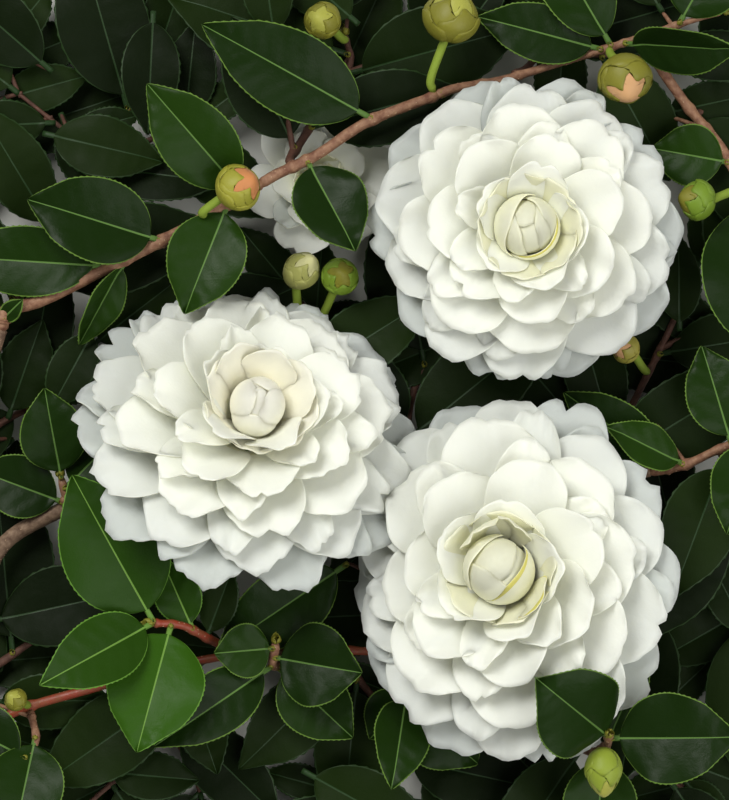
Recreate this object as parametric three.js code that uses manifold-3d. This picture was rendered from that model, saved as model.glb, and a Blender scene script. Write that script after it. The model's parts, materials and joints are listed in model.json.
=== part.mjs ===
// A cut camellia branch with three double white blooms, lying flat as picked: a stem, two boughs,
// short flower stalks, leafy sprays, blooms and buds. Millimetres, +Z up.
import * as THREE from "three";
import { mergeVertices } from "three/addons/utils/BufferGeometryUtils.js";
import Module from "manifold-3d";

const wasm = await Module();
wasm.setup();

// Plan positions are steps of PLAN_STEP, x to the right and y down, counted from the upper left.
const PLAN_STEP = 0.254;
const PLAN_MIDDLE_X = 364.5;
const PLAN_MIDDLE_Y = 400;

const GAP = 0.35;
const SEAT_GAP = 0.48;
const LEAF_THICK = 0.6;
const PETAL_THICK = 0.9;
const PETIOLE_HALF = 0.75;
const PETIOLE_END = 0.1;
const LEAF_WIDEST = 0.8;
const LEAF_FULLNESS = 0.72;
const LEAF_RINGS = [0, 0.09, 0.28, 0.58, 0.85, 1];
const FILL_LEAF_RINGS = [0, 0.15, 0.46, 0.8, 1];
const PETAL_RINGS = [0, 0.22, 0.66, 0.93, 1];
const PETAL_BASE = 0.36;
const PETAL_WIDEST = 0.66;
const CLEAR = 2.7;
const OWN_CLEAR = 1.6;
const SHORTEST_EDGE = 0.03;
const TRIES = [[1, 0], [1, -4], [1, 4], [0.8, 0], [0.8, -6], [0.62, 2]];
const BUD_TAPER = 0.35;
const BUD_STALK = 1.1;
const TWIG_RUN = 1.6;
const TWIG_START = 0.85;
const TWIG_END = 0.6;
const FURTHEST = { x: 116, y: 124 };

const BARK = { color: 0x8f6a58, roughness: 0.75 };
const YOUNG_BARK = { color: 0x9c4a36, roughness: 0.6 };
const DARK_LEAF = { color: 0x1f4a1c, roughness: 0.35 };
const YOUNG_LEAF = { color: 0x3f7d2a, roughness: 0.4 };
const PETAL = { color: 0xf0f0e6, roughness: 0.6 };
const BUD = { color: 0xb9bf52, roughness: 0.5 };
const SEPAL = { color: 0x8fa03c, roughness: 0.6 };

/** A repeatable stream of numbers from 0 to 1. */
class Seeded {
  constructor(seed) {
    this.state = seed;
  }

  next() {
    this.state = (this.state * 1664525 + 1013904223) % 4294967296;
    return this.state / 4294967296;
  }

  spread(size) {
    return (this.next() * 2 - 1) * size;
  }
}

const radians = THREE.MathUtils.degToRad;

function plan(x, y, z) {
  return new THREE.Vector3((x - PLAN_MIDDLE_X) * PLAN_STEP, (PLAN_MIDDLE_Y - y) * PLAN_STEP, z);
}

function along(points) {
  return new THREE.CatmullRomCurve3(points, false, "centripetal");
}

function solidOf(geometry) {
  geometry.deleteAttribute("normal");
  geometry.deleteAttribute("uv");
  const merged = mergeVertices(geometry, 1e-5);
  return new wasm.Manifold(
    new wasm.Mesh({
      numProp: 3,
      vertProperties: new Float32Array(merged.attributes.position.array),
      triVerts: new Uint32Array(merged.index.array),
    }),
  );
}

/** Joins solids into one, without what fusing cuts off or seals inside. */
function joined(solids) {
  let whole = solids[0];
  for (const next of solids.slice(1)) {
    whole = whole.add(next);
  }
  const bodies = whole.decompose();
  bodies.sort((a, b) => b.volume() - a.volume());
  return bodies[0].simplify(SHORTEST_EDGE);
}

function named(name, solid, look) {
  const mesh = solid.getMesh();
  const geometry = new THREE.BufferGeometry();
  geometry.setAttribute("position", new THREE.BufferAttribute(mesh.vertProperties, 3));
  geometry.setIndex(new THREE.BufferAttribute(mesh.triVerts, 1));
  geometry.computeVertexNormals();
  const piece = new THREE.Mesh(geometry, new THREE.MeshStandardMaterial(look));
  piece.name = name;
  return piece;
}

function leafHalf(u) {
  if (u <= PETIOLE_END) {
    return PETIOLE_HALF / 1000;
  }
  const t = (u - PETIOLE_END) / (1 - PETIOLE_END);
  return Math.pow(Math.max(Math.sin(Math.PI * Math.pow(t, LEAF_WIDEST)), 0), LEAF_FULLNESS);
}

function petalHalf(u) {
  if (u < PETAL_WIDEST) {
    return PETAL_BASE + (1 - PETAL_BASE) * Math.sin(((Math.PI / 2) * u) / PETAL_WIDEST);
  }
  const t = (u - PETAL_WIDEST) / (1 - PETAL_WIDEST);
  return Math.sqrt(Math.max(1 - t * t, 0));
}

/** A leaf or petal: an arched midrib from its root, and a width across it. */
class Blade {
  constructor(root, forward, up, reach, rise, bend, width, options = {}) {
    this.root = root;
    this.forward = forward.clone();
    this.up = up.clone();
    this.side = new THREE.Vector3().crossVectors(up, forward);
    this.bend = Math.abs(bend) < 0.01 ? 0.01 : bend;
    const chord = Math.hypot(reach, rise);
    this.length = (chord * (this.bend / 2)) / Math.sin(this.bend / 2);
    this.start = Math.atan2(rise, reach) + this.bend / 2;
    this.width = width;
    this.roll = options.roll ?? 0;
    this.fold = options.fold ?? 0;
    this.half = options.half ?? leafHalf;
    this.floor = options.floor ?? -1000;
  }

  frame(u) {
    const angle = this.start - this.bend * u;
    const ahead = this.forward.clone().multiplyScalar(Math.cos(angle));
    ahead.addScaledVector(this.up, Math.sin(angle));
    const normal = this.forward.clone().multiplyScalar(-Math.sin(angle));
    normal.addScaledVector(this.up, Math.cos(angle));
    const side = this.side.clone().multiplyScalar(Math.cos(this.roll));
    side.addScaledVector(normal, Math.sin(this.roll));
    normal.multiplyScalar(Math.cos(this.roll)).addScaledVector(this.side, -Math.sin(this.roll));
    return { ahead, normal, side };
  }

  halfWidth(u) {
    return Math.max((this.width / 2) * this.half(u), Math.min(PETIOLE_HALF, this.width / 4));
  }

  point(u, v) {
    const angle = this.start - this.bend * u;
    const scale = this.length / this.bend;
    const place = this.root.clone();
    place.addScaledVector(this.forward, scale * (Math.sin(this.start) - Math.sin(angle)));
    place.addScaledVector(this.up, scale * (Math.cos(angle) - Math.cos(this.start)));
    const { normal, side } = this.frame(u);
    const wide = this.halfWidth(u);
    place.addScaledVector(side, v * wide);
    place.addScaledVector(normal, Math.abs(v) * wide * Math.tan(this.fold));
    place.z = Math.max(place.z, this.floor);
    return place;
  }

  /** Points spread over the blade, past its root, to keep other pieces clear of it. */
  samples(from) {
    const spots = [];
    for (let i = 0; i <= 10; i += 1) {
      const u = from + ((1 - from) * i) / 10;
      for (const v of [-1, -0.5, 0, 0.5, 1]) {
        spots.push(this.point(u, i === 10 ? 0 : v));
      }
    }
    return spots;
  }

  solid(rings, thick) {
    const count = rings.length - 1;
    const geometry = new THREE.SphereGeometry(1, 4, count);
    const spots = geometry.attributes.position;
    for (let i = 0; i < spots.count; i += 1) {
      const ring = count - Math.round((Math.acos(THREE.MathUtils.clamp(spots.getY(i), -1, 1)) / Math.PI) * count);
      const u = rings[ring];
      const pole = ring === 0 || ring === count;
      const across = pole ? 0 : Math.round(spots.getZ(i) / Math.sin((ring / count) * Math.PI));
      const over = pole ? 0 : Math.round(spots.getX(i) / Math.sin((ring / count) * Math.PI));
      const place = this.point(u, across);
      place.addScaledVector(this.frame(u).normal, (over * thick) / 2);
      spots.setXYZ(i, place.x, place.y, place.z);
    }
    return solidOf(geometry);
  }
}

/** A tapering round limb or twig along a smooth path. */
class Limb {
  constructor(points, startRadius, endRadius, sides, segments) {
    this.curve = along(points);
    this.startRadius = startRadius;
    this.endRadius = endRadius;
    this.sides = sides;
    this.segments = segments;
  }

  radius(t) {
    return this.startRadius + (this.endRadius - this.startRadius) * t;
  }

  /** The place on the middle line that lies nearest to a plan position. */
  nearest(x, y) {
    const wanted = plan(x, y, 0);
    let best = 0;
    let least = Infinity;
    for (let i = 0; i <= 100; i += 1) {
      const place = this.curve.getPoint(i / 100);
      const away = Math.hypot(place.x - wanted.x, place.y - wanted.y);
      if (away < least) {
        least = away;
        best = i / 100;
      }
    }
    return best;
  }

  /** Two points straight ahead of the tip, a gap away, for the twig that goes on from it. */
  onward() {
    const tip = this.curve.getPoint(1);
    const ahead = this.curve.getTangent(1);
    return [tip.clone().addScaledVector(ahead, GAP), tip.clone().addScaledVector(ahead, 4)];
  }

  samples() {
    const spots = [];
    const count = this.segments * 4;
    for (let i = 0; i <= count; i += 1) {
      const place = this.curve.getPoint(i / count);
      const tangent = this.curve.getTangent(i / count);
      const side = new THREE.Vector3().crossVectors(tangent, new THREE.Vector3(0, 0, 1)).normalize();
      const radius = this.radius(i / count);
      spots.push(place.clone().addScaledVector(side, radius));
      spots.push(place.clone().addScaledVector(side, -radius));
      spots.push(place.clone().setZ(place.z + radius));
      spots.push(place.clone().setZ(place.z - radius));
    }
    return spots;
  }

  solid() {
    const geometry = new THREE.CylinderGeometry(1, 1, 1, this.sides, this.segments);
    const spots = geometry.attributes.position;
    for (let i = 0; i < spots.count; i += 1) {
      const t = spots.getY(i) + 0.5;
      const tangent = this.curve.getTangent(t);
      const side = new THREE.Vector3().crossVectors(tangent, new THREE.Vector3(0, 0, 1)).normalize();
      const over = new THREE.Vector3().crossVectors(side, tangent);
      const place = this.curve.getPoint(t);
      const radius = this.radius(t);
      place.addScaledVector(over, spots.getX(i) * radius);
      place.addScaledVector(side, -spots.getZ(i) * radius);
      spots.setXYZ(i, place.x, place.y, place.z);
    }
    return solidOf(geometry);
  }
}

/** Two points out from a limb's side, a gap clear of it, where a twig towards `next` begins. */
function seated(limb, x, y, next) {
  const t = limb.nearest(x, y);
  const place = limb.curve.getPoint(t);
  const tangent = limb.curve.getTangent(t);
  const out = next.clone().sub(place);
  out.addScaledVector(tangent, -out.dot(tangent)).normalize();
  const clear = limb.radius(t) + SEAT_GAP;
  return [clear, clear + TWIG_RUN].map((away) => place.clone().addScaledVector(out, away));
}

/** A double bloom: rings of petals on a domed heart, each ring higher and shorter. */
class Bloom {
  constructor(x, y, z, tilt, towards, size, seed, rings, stretch, along) {
    this.root = plan(x, y, z);
    this.stretch = stretch;
    this.along = radians(along);
    this.size = size;
    this.rings = rings;
    this.seed = seed;
    const turn = new THREE.Vector3(-Math.sin(radians(towards)), Math.cos(radians(towards)), 0);
    this.turn = new THREE.Quaternion().setFromAxisAngle(turn, radians(tilt));
    this.axis = new THREE.Vector3(0, 0, 1).applyQuaternion(this.turn);
    this.blades = this.petals();
  }

  petals() {
    const random = new Seeded(this.seed);
    const blades = [];
    for (const ring of this.rings) {
      for (let i = 0; i < ring.count; i += 1) {
        const azimuth = radians((360 / ring.count) * i + ring.phase + random.spread(ring.loose));
        const outward = new THREE.Vector3(Math.cos(azimuth), Math.sin(azimuth), 0).applyQuaternion(this.turn);
        const root = this.root.clone();
        root.addScaledVector(outward, ring.rootRadius * this.size);
        root.addScaledVector(this.axis, ring.rootHeight * this.size);
        const long = 1 + this.stretch * Math.cos(2 * (azimuth - this.along));
        const reach = (ring.reach + random.spread(1.2) - ring.rootRadius) * this.size * long;
        const rise = (ring.height + random.spread(0.7) - ring.rootHeight) * this.size;
        blades.push(
          new Blade(root, outward, this.axis, reach, rise, radians(ring.bend), ring.width * this.size, {
            roll: radians(ring.roll + random.spread(2)),
            fold: radians(ring.fold),
            half: petalHalf,
          }),
        );
      }
    }
    return blades;
  }

  heart(profile) {
    const points = profile.map(([r, h]) => new THREE.Vector2(r * this.size, h * this.size));
    const geometry = new THREE.LatheGeometry(points, 9);
    geometry.rotateX(Math.PI / 2);
    geometry.applyQuaternion(this.turn);
    geometry.translate(this.root.x, this.root.y, this.root.z);
    return solidOf(geometry);
  }

  samples() {
    return this.blades.flatMap((blade) => blade.samples(0.1));
  }

  solid(profile) {
    const solids = this.blades.map((blade) => blade.solid(PETAL_RINGS, PETAL_THICK));
    return joined([this.heart(profile), ...solids]);
  }
}

/** An egg-shaped bud on a short stalk that rises from a twig. */
class Bud {
  constructor(x, y, z, radius, length, aim, limb, fromX, fromY) {
    this.middle = plan(x, y, z);
    this.radius = radius;
    this.long = length;
    this.aim = new THREE.Vector3(...aim).normalize();
    this.foot = this.middle.clone().addScaledVector(this.aim, -this.long * 0.35);
    this.stalk = new Limb([...seated(limb, fromX, fromY, this.foot), this.foot], BUD_STALK, BUD_STALK, 5, 4);
  }

  samples() {
    const spots = [];
    for (const side of [-1, -0.5, 0, 0.5, 1]) {
      const wide = this.radius * Math.sqrt(1 - side * side * 0.9);
      for (let i = 0; i < 6; i += 1) {
        const around = (i / 6) * Math.PI * 2;
        const place = this.middle.clone().addScaledVector(this.aim, (side * this.long) / 2);
        spots.push(place.add(new THREE.Vector3(Math.cos(around), Math.sin(around), 0).multiplyScalar(wide)));
      }
    }
    return [...spots, ...this.stalk.samples()];
  }

  solid() {
    const egg = new THREE.SphereGeometry(1, 7, 5);
    const spots = egg.attributes.position;
    for (let i = 0; i < spots.count; i += 1) {
      const y = spots.getY(i);
      const wide = this.radius * (1 - BUD_TAPER * Math.max(y, 0));
      spots.setXYZ(i, spots.getX(i) * wide, (y * this.long) / 2, spots.getZ(i) * wide);
    }
    egg.applyQuaternion(new THREE.Quaternion().setFromUnitVectors(new THREE.Vector3(0, 1, 0), this.aim));
    egg.translate(this.middle.x, this.middle.y, this.middle.z);
    return joined([solidOf(egg), this.stalk.solid()]);
  }
}

/** A flower stalk with the cup of sepals that holds its bloom 0.3 mm clear. */
function flowerStalk(name, bloom, bearer, x, y, between) {
  const foot = bloom.root.clone().addScaledVector(bloom.axis, -4.2 * bloom.size);
  const points = [...between.map((p) => plan(...p)), foot];
  const limb = new Limb([...seated(bearer, x, y, points[0]), ...points], 1.5, 1.7, 6, 5);
  return { name, limb, solid: joined([bloom.heart(CUP), limb.solid()]), look: SEPAL };
}

/** Keeps the points that a new leaf has to stay clear of. */
class Space {
  constructor() {
    this.kept = [];
  }

  keep(owner, spots) {
    this.kept.push({ owner, spots, box: new THREE.Box3().setFromPoints(spots) });
  }

  near(spots, owner, others, own) {
    const box = new THREE.Box3().setFromPoints(spots);
    for (const entry of this.kept) {
      const clear = entry.owner === owner ? own : others;
      const reach = box.clone().expandByScalar(clear);
      if (clear === 0 || !reach.intersectsBox(entry.box)) {
        continue;
      }
      for (const kept of entry.spots) {
        if (reach.containsPoint(kept) && spots.some((spot) => spot.distanceTo(kept) < clear)) {
          return true;
        }
      }
    }
    return false;
  }
}

const space = new Space();

function placedLeaf(limb, row) {
  const [x, y, tipX, tipY, tipZ, width, roll, bend, fold] = row;
  const root = limb.curve.getPoint(limb.nearest(x, y));
  return leafTo(root, plan(tipX, tipY, tipZ), width, roll, bend, fold);
}

function leafTo(root, tip, width, roll, bend, fold) {
  const forward = tip.clone().sub(root).setZ(0);
  const reach = forward.length();
  return new Blade(root, forward.normalize(), new THREE.Vector3(0, 0, 1), reach, tip.z - root.z, radians(bend), width, {
    roll: radians(roll),
    fold: radians(fold),
    floor: LEAF_THICK * 0.6,
  });
}

function within(spots) {
  return spots.every((spot) => Math.abs(spot.x) < FURTHEST.x && Math.abs(spot.y) < FURTHEST.y);
}

/** Leaves on both sides of a twig in turn, each kept only where it has room. */
function grownLeaves(name, limb, rule, count, random) {
  const blades = [];
  for (let i = 0; i < count; i += 1) {
    const last = i === count - 1;
    const t = last ? 0.99 : rule.first + ((1 - rule.first) * i) / (count - 1);
    const root = limb.curve.getPoint(t);
    const tangent = limb.curve.getTangent(t);
    const turn = last ? random.spread(12) : (i % 2 ? 1 : -1) * (rule.spread + random.spread(14));
    const heading = Math.atan2(tangent.y, tangent.x) + radians(turn);
    const long = rule.length * (1 + random.spread(0.14));
    const width = long * (0.48 + random.spread(0.05));
    const rise = random.spread(rule.lift) + rule.rise;
    const roll = random.spread(16);
    const bend = 24 + random.spread(8);
    for (const [share, step] of TRIES) {
      const tip = root.clone();
      tip.x += Math.cos(heading) * long * share;
      tip.y += Math.sin(heading) * long * share;
      tip.z = Math.max(root.z + rise + step, LEAF_THICK * 0.6);
      const blade = leafTo(root, tip, width * share, roll, bend, 8);
      const spots = blade.samples(0.2);
      if (within(spots) && !space.near(spots, name, CLEAR, OWN_CLEAR)) {
        space.keep(name, spots);
        blades.push(blade);
        break;
      }
    }
  }
  return blades;
}

/** Side twigs and leaves of a spray that grows by rule from its one stem. */
function grow(piece) {
  const { name, limb, rule } = piece;
  const random = new Seeded(rule.seed);
  piece.blades.push(...grownLeaves(name, limb, rule, rule.leaves, random));
  for (let i = 0; i < rule.twigs; i += 1) {
    const t = rule.twigs > 1 ? 0.3 + (0.45 * i) / (rule.twigs - 1) : 0.5;
    const root = limb.curve.getPoint(t);
    const tangent = limb.curve.getTangent(t);
    const heading = Math.atan2(tangent.y, tangent.x) + radians((i % 2 ? -1 : 1) * (48 + random.spread(12)));
    const long = rule.twigLength * (1 + random.spread(0.2));
    const end = root.clone();
    end.x += Math.cos(heading) * long;
    end.y += Math.sin(heading) * long;
    end.z = Math.max(root.z + random.spread(3) - 2, TWIG_START + 1);
    const halfway = root.clone().lerp(end, 0.5);
    halfway.z += 1.2;
    const twig = new Limb([root, halfway, end], TWIG_START, TWIG_END, 4, 3);
    const spots = twig.samples();
    if (within(spots) && !space.near(spots, name, CLEAR, 0)) {
      space.keep(name, spots);
      piece.twigs.push(twig);
      piece.blades.push(...grownLeaves(name, twig, { ...rule, first: 0.5 }, 4, random));
    }
  }
}

const CUP = [[0, -5], [2.2, -4.8], [5.2, -3], [8, 0.4], [9.1, 3.4], [9.4, 3.6], [7.4, 1.5], [3.2, -0.45], [0, -0.6]];
const HEART = [[0, 0], [3, 0.2], [7, 2.2], [9, 5.5], [9, 13], [8, 19], [5.5, 24], [0, 27]];

function ring(count, phase, rootRadius, rootHeight, reach, height, bend, width, fold) {
  return { count, phase, rootRadius, rootHeight, reach, height, bend, width, roll: 8, fold, loose: 3 };
}

const FULL_RINGS = [
  ring(10, 0, 5, 4.5, 39.5, 10, 44, 24, 3),
  ring(10, 18, 5, 7.5, 37.5, 14, 46, 23, 4),
  ring(8, 6, 5.5, 11, 31.5, 21, 50, 23, 6),
  ring(7, 20, 5.5, 15, 24.5, 28, 50, 20, 8),
  ring(5, 4, 5, 19.5, 15.5, 34, 40, 17, 11),
];
const OPENING_RINGS = [ring(6, 10, 5, 4.5, 27, 12, 30, 22, 6), ring(5, 40, 5, 8, 18, 19, 20, 18, 10)];
const OPENING_HEART = [[0, 0], [3, 0.2], [7, 2.2], [8, 5.5], [7, 12], [4, 17], [0, 19]];

const blooms = [
  new Bloom(526, 229, 26, 0, 0, 1.012, 13, FULL_RINGS, 0, 0),
  new Bloom(236, 458, 27, 27, 67, 1.1, 24, FULL_RINGS, 0.05, 170),
  new Bloom(524, 588, 27, 14, 142, 1.15, 39, FULL_RINGS, 0.1, 97),
  new Bloom(320, 182, 6, 8, 100, 0.72, 41, OPENING_RINGS, 0, 0),
];

const stem = new Limb(
  [
    plan(-50, 830, 3.2),
    plan(-50, 750, 8),
    plan(-52, 600, 18),
    plan(-38, 430, 27),
    plan(-3, 327, 31),
  ],
  3.2,
  2.3,
  8,
  10,
);
const middleBough = new Limb(
  [
    ...seated(stem, -52, 600, plan(-20, 575, 20)),
    plan(0, 545, 20),
    plan(50, 515, 20),
    plan(150, 480, 17),
    plan(260, 470, 14),
    plan(380, 455, 13),
    plan(500, 465, 13),
    plan(600, 480, 16),
    plan(655, 472, 20),
  ],
  2.2,
  1.4,
  7,
  12,
);
const lowerBough = new Limb(
  [
    ...seated(stem, -50, 752, plan(-25, 742, 11)),
    plan(0, 722, 15),
    plan(90, 692, 18),
    plan(180, 668, 16),
    plan(275, 655, 15),
    plan(400, 660, 13),
    plan(520, 700, 12),
    plan(565, 737, 14),
  ],
  1.8,
  1.3,
  7,
  11,
);

/** A twig with its leaves, joined: rows for those that show, a rule for the rest. */
function spray(name, start, points, radii, rows, rule, look = DARK_LEAF) {
  const onward = points.map((p) => plan(...p));
  const path = [...(start.length > 1 ? seated(...start, onward[0]) : start[0].onward()), ...onward];
  const limb = new Limb(path, radii[0], radii[1], rule ? 4 : 6, path.length * 2 - 2);
  space.keep(name, limb.samples());
  const blades = rows.map((row) => placedLeaf(limb, row));
  for (const blade of blades) {
    space.keep(name, blade.samples(0.2));
  }
  return { name, limb, blades, twigs: [], rule, look };
}

// A leaf row: root x, y; tip x, y and height; width, roll, arch and fold in degrees.
const upper1 = spray(
  "upper_spray_1",
  [stem],
  [[40, 300, 32.5], [105, 268, 34], [185, 228, 35], [262, 182, 34.5]],
  [2.3, 2],
  [
    [5, 322, 22, 299, 36, 5, 0, 20, 5],
    [105, 262, -60, 255, 27, 18, 0, 25, 8],
    [158, 238, 27, 199, 41, 21.6, 5, 40, 18],
    [133, 272, 77, 345, 29, 10, -35, 25, 25],
    [230, 206, 184, 314, 39, 20, 5, 30, 10],
    [244, 193, 147, 84, 42, 19, -5, 30, 12],
  ],
);
const upper2 = spray(
  "upper_spray_2",
  [upper1.limb],
  [[315, 155, 34], [365, 122, 33], [438, 93, 30.5]],
  [2, 1.8],
  [
    [372, 118, 202, 25, 43, 21.6, 0, 25, 10],
    [308, 161, 356, 251, 41, 19, -14, 30, 12],
  ],
);
const upper3 = spray(
  "upper_spray_3",
  [upper2.limb],
  [[500, 78, 27], [560, 60, 24.5], [610, 45, 25], [660, 28, 26], [725, 8, 26]],
  [1.8, 1],
  [
    [605, 46, 478, 13, 26, 15, 0, 25, 10],
    [615, 43, 535, -88, 28, 19, 10, 25, 10],
    [625, 40, 740, 50, 37, 16, 45, 25, 15],
    [680, 22, 735, -75, 27, 20, 0, 25, 8],
    [722, 9, 800, -35, 22, 17, 0, 25, 8],
  ],
);
const rightShoot = spray(
  "right_shoot",
  [upper3.limb, 648, 32],
  [[690, 100, 19], [729, 150, 22], [745, 190, 25], [765, 240, 26]],
  [1.5, 1],
  [
    [735, 160, 655, 145, 20, 16, 0, 20, 8],
    [745, 192, 770, 365, 33, 28, -5, 30, 8],
    [765, 238, 830, 180, 24, 18, 0, 20, 8],
  ],
);
const rightSpray = spray(
  "right_spray",
  [middleBough],
  [[690, 465, 23], [729, 447, 26], [765, 438, 27]],
  [1.4, 0.9],
  [
    [672, 467, 566, 392, 20, 15, 0, 25, 10],
    [688, 466, 608, 426, 30, 12, 25, 20, 10],
    [735, 446, 705, 345, 24, 16, 0, 25, 10],
    [760, 440, 728, 535, 36, 17, 0, 25, 10],
    [764, 438, 835, 400, 22, 18, 0, 25, 10],
  ],
);
const youngSpray = spray(
  "young_spray",
  [lowerBough, 222, 660],
  [[205, 640, 24], [180, 627, 29], [152, 624, 32]],
  [1.3, 0.9],
  [
    [153, 624, 72, 475, 40, 27, 0, 30, 8],
    [152, 624, 42, 683, 44, 17.5, 5, 30, 12],
    [170, 626, 137, 752, 46, 25, 0, 30, 8],
    [192, 632, 160, 560, 26, 12, 0, 20, 10],
  ],
  undefined,
  YOUNG_LEAF,
);
const lowerLeft = spray(
  "lower_left_spray",
  [lowerBough, 28, 715],
  [[32, 745, 22], [22, 765, 24]],
  [1, 0.8],
  [
    [31, 740, 10, 850, 32, 20, 0, 25, 10],
    [24, 762, -60, 720, 20, 17, 0, 25, 10],
  ],
);
const leftSpray = spray(
  "left_spray",
  [middleBough, 60, 512],
  [[62, 500, 23], [58, 478, 24]],
  [1.1, 0.8],
  [
    [58, 480, 42, 388, 28, 17, 0, 25, 10],
    [62, 505, -30, 470, 20, 16, 0, 25, 10],
    [61, 490, 130, 420, 16, 17, 0, 25, 10],
  ],
);
const lowerMid = spray(
  "lower_mid_spray",
  [lowerBough, 283, 656],
  [[277, 668, 19.5], [272, 668, 24], [275, 645, 28]],
  [1.2, 0.9],
  [
    [274, 650, 213, 655, 30, 14, 0, 25, 10],
    [272, 668, 153, 748, 34, 16, 0, 25, 10],
    [273, 660, 362, 674, 34, 21.6, 0, 25, 8],
    [276, 670, 353, 742, 22, 18, 0, 25, 10],
    [275, 648, 350, 572, 25, 20, 0, 25, 10],
  ],
);
const lowerCentre = spray(
  "lower_centre_spray",
  [lowerBough, 380, 660],
  [[408, 690, 15], [404, 705, 17]],
  [1.1, 0.8],
  [
    [406, 697, 392, 792, 30, 15, -15, 25, 15],
    [407, 692, 370, 745, 15, 13, 0, 25, 10],
    [404, 703, 480, 770, 14, 20, 0, 25, 10],
  ],
);
const frontSpray = spray(
  "front_spray",
  [lowerBough],
  [[592, 755, 24], [606, 745, 43], [607, 732, 53]],
  [1.3, 1],
  [
    [606, 734, 533, 673, 70, 24, 0, 34, 8],
    [606, 736, 735, 733, 59, 23, 0, 30, 10],
    [603, 746, 650, 650, 30, 9, 30, 25, 15],
    [600, 750, 600, 860, 30, 19, 0, 25, 10],
  ],
);

/** Sprays that fill out the branch behind and around what faces the viewer. */
function filler(number, start, points, leaves, seed, options = {}) {
  const rule = { leaves, seed, first: 0.2, spread: 52, length: 44, lift: 4, rise: 1, twigs: 2, twigLength: 34, ...options };
  return spray(`fill_spray_${number}`, start, points, [1.3, 0.7], [], rule);
}

const sprays = [
  upper1,
  upper2,
  upper3,
  rightShoot,
  rightSpray,
  youngSpray,
  lowerLeft,
  leftSpray,
  lowerMid,
  lowerCentre,
  frontSpray,
];
const fillers = [
  filler(1, [stem, -38, 440], [[-15, 430, 19], [40, 400, 13], [140, 360, 8]], 6, 101),
  filler(2, [upper1.limb, 8, 320], [[15, 290, 25], [50, 230, 16], [110, 130, 10], [150, 60, 8]], 7, 102),
  filler(3, [upper2.limb, 292, 166], [[300, 140, 25], [330, 90, 19], [350, 60, 17], [345, 30, 16]], 7, 103),
  filler(4, [upper3.limb, 520, 73], [[527, 65, 20], [540, 50, 17], [560, 15, 15]], 6, 104),
  filler(5, [rightShoot.limb, 692, 105], [[700, 108, 15], [725, 100, 12], [760, 80, 9]], 5, 105),
  filler(6, [middleBough, 405, 456], [[407, 435, 10], [415, 390, 8], [450, 330, 5], [510, 270, 4]], 6, 106),
  filler(7, [middleBough, 608, 480], [[612, 455, 12], [640, 400, 9], [675, 330, 7], [700, 270, 7]], 7, 107),
  filler(8, [rightSpray.limb, 722, 450], [[724, 470, 21], [735, 530, 14], [745, 620, 9]], 5, 108),
  filler(9, [lowerBough, 350, 656], [[355, 680, 10], [395, 730, 7], [425, 770, 6]], 6, 109),
  filler(10, [lowerBough, 535, 712], [[545, 724, 9], [600, 715, 8], [690, 770, 7]], 6, 110),
  filler(11, [lowerBough, 180, 668], [[178, 690, 12], [170, 735, 8], [190, 780, 6]], 6, 111),
  filler(12, [stem, -50, 690], [[-25, 680, 10], [20, 650, 8], [90, 600, 6]], 6, 112),
  filler(13, [middleBough, 112, 490], [[114, 470, 13], [120, 430, 9], [220, 390, 6]], 6, 113),
  filler(14, [middleBough, 470, 460], [[468, 485, 10], [460, 560, 6], [480, 640, 5]], 6, 114),
];
sprays.push(...fillers);

const nodes = [
  { name: "stem", limb: stem, solid: stem.solid(), look: BARK },
  { name: "middle_bough", limb: middleBough, solid: middleBough.solid(), look: BARK },
  { name: "lower_bough", limb: lowerBough, solid: lowerBough.solid(), look: YOUNG_BARK },
  flowerStalk("bloom_1_stalk", blooms[0], upper3.limb, 484, 82, [[496, 120, 19], [518, 190, 16]]),
  flowerStalk("bloom_2_stalk", blooms[1], middleBough, 226, 474, []),
  flowerStalk("bloom_3_stalk", blooms[2], middleBough, 502, 465, [[512, 520, 15]]),
  flowerStalk("bloom_4_stalk", blooms[3], middleBough, 292, 466, [[298, 430, 9], [305, 370, 6], [314, 270, 3]]),
];
for (const node of nodes) {
  space.keep(node.name, node.limb.samples());
}
blooms.forEach((bloom, i) => {
  const heart = i === 3 ? OPENING_HEART : HEART;
  nodes.push({ name: `bloom_${i + 1}`, solid: bloom.solid(heart), look: PETAL });
  space.keep(`bloom_${i + 1}`, bloom.samples());
});

const budStalk4 = nodes[6].limb;
const buds = [
  new Bud(240, 187, 44.5, 6.1, 12.5, [0.6, 0.3, 0.7], upper1.limb, 206, 216),
  new Bud(322, 18, 31, 4.8, 10, [-0.3, 0.1, 0.9], fillers[2].limb, 345, 35),
  new Bud(452, 14, 38, 7.4, 15, [0.2, 0.8, 0.5], upper2.limb, 434, 95),
  new Bud(626, 80, 38, 7, 14, [0.1, -0.75, 0.65], upper3.limb, 612, 45),
  new Bud(697, 199, 34, 5.3, 10.5, [-0.9, 0.1, 0.45], rightShoot.limb, 744, 188),
  new Bud(628, 348, 22, 3.8, 8, [-0.6, 0.1, 0.8], fillers[6].limb, 652, 370),
  new Bud(602, 770, 51, 4.8, 13.5, [0, -1, 0.15], frontSpray.limb, 605, 748),
  new Bud(340, 275, 24, 4.8, 10, [0.1, 0.2, 0.95], budStalk4, 308, 330),
  new Bud(302, 268, 23, 4.6, 14, [0.4, 0.45, 0.8], budStalk4, 305, 360),
  new Bud(12, 702, 26, 3, 6.5, [-0.4, 0.4, 0.8], lowerBough, 24, 716),
];
buds.forEach((bud, i) => {
  nodes.push({ name: `bud_${i + 1}`, solid: bud.solid(), look: BUD });
  space.keep(`bud_${i + 1}`, bud.samples());
});

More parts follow.
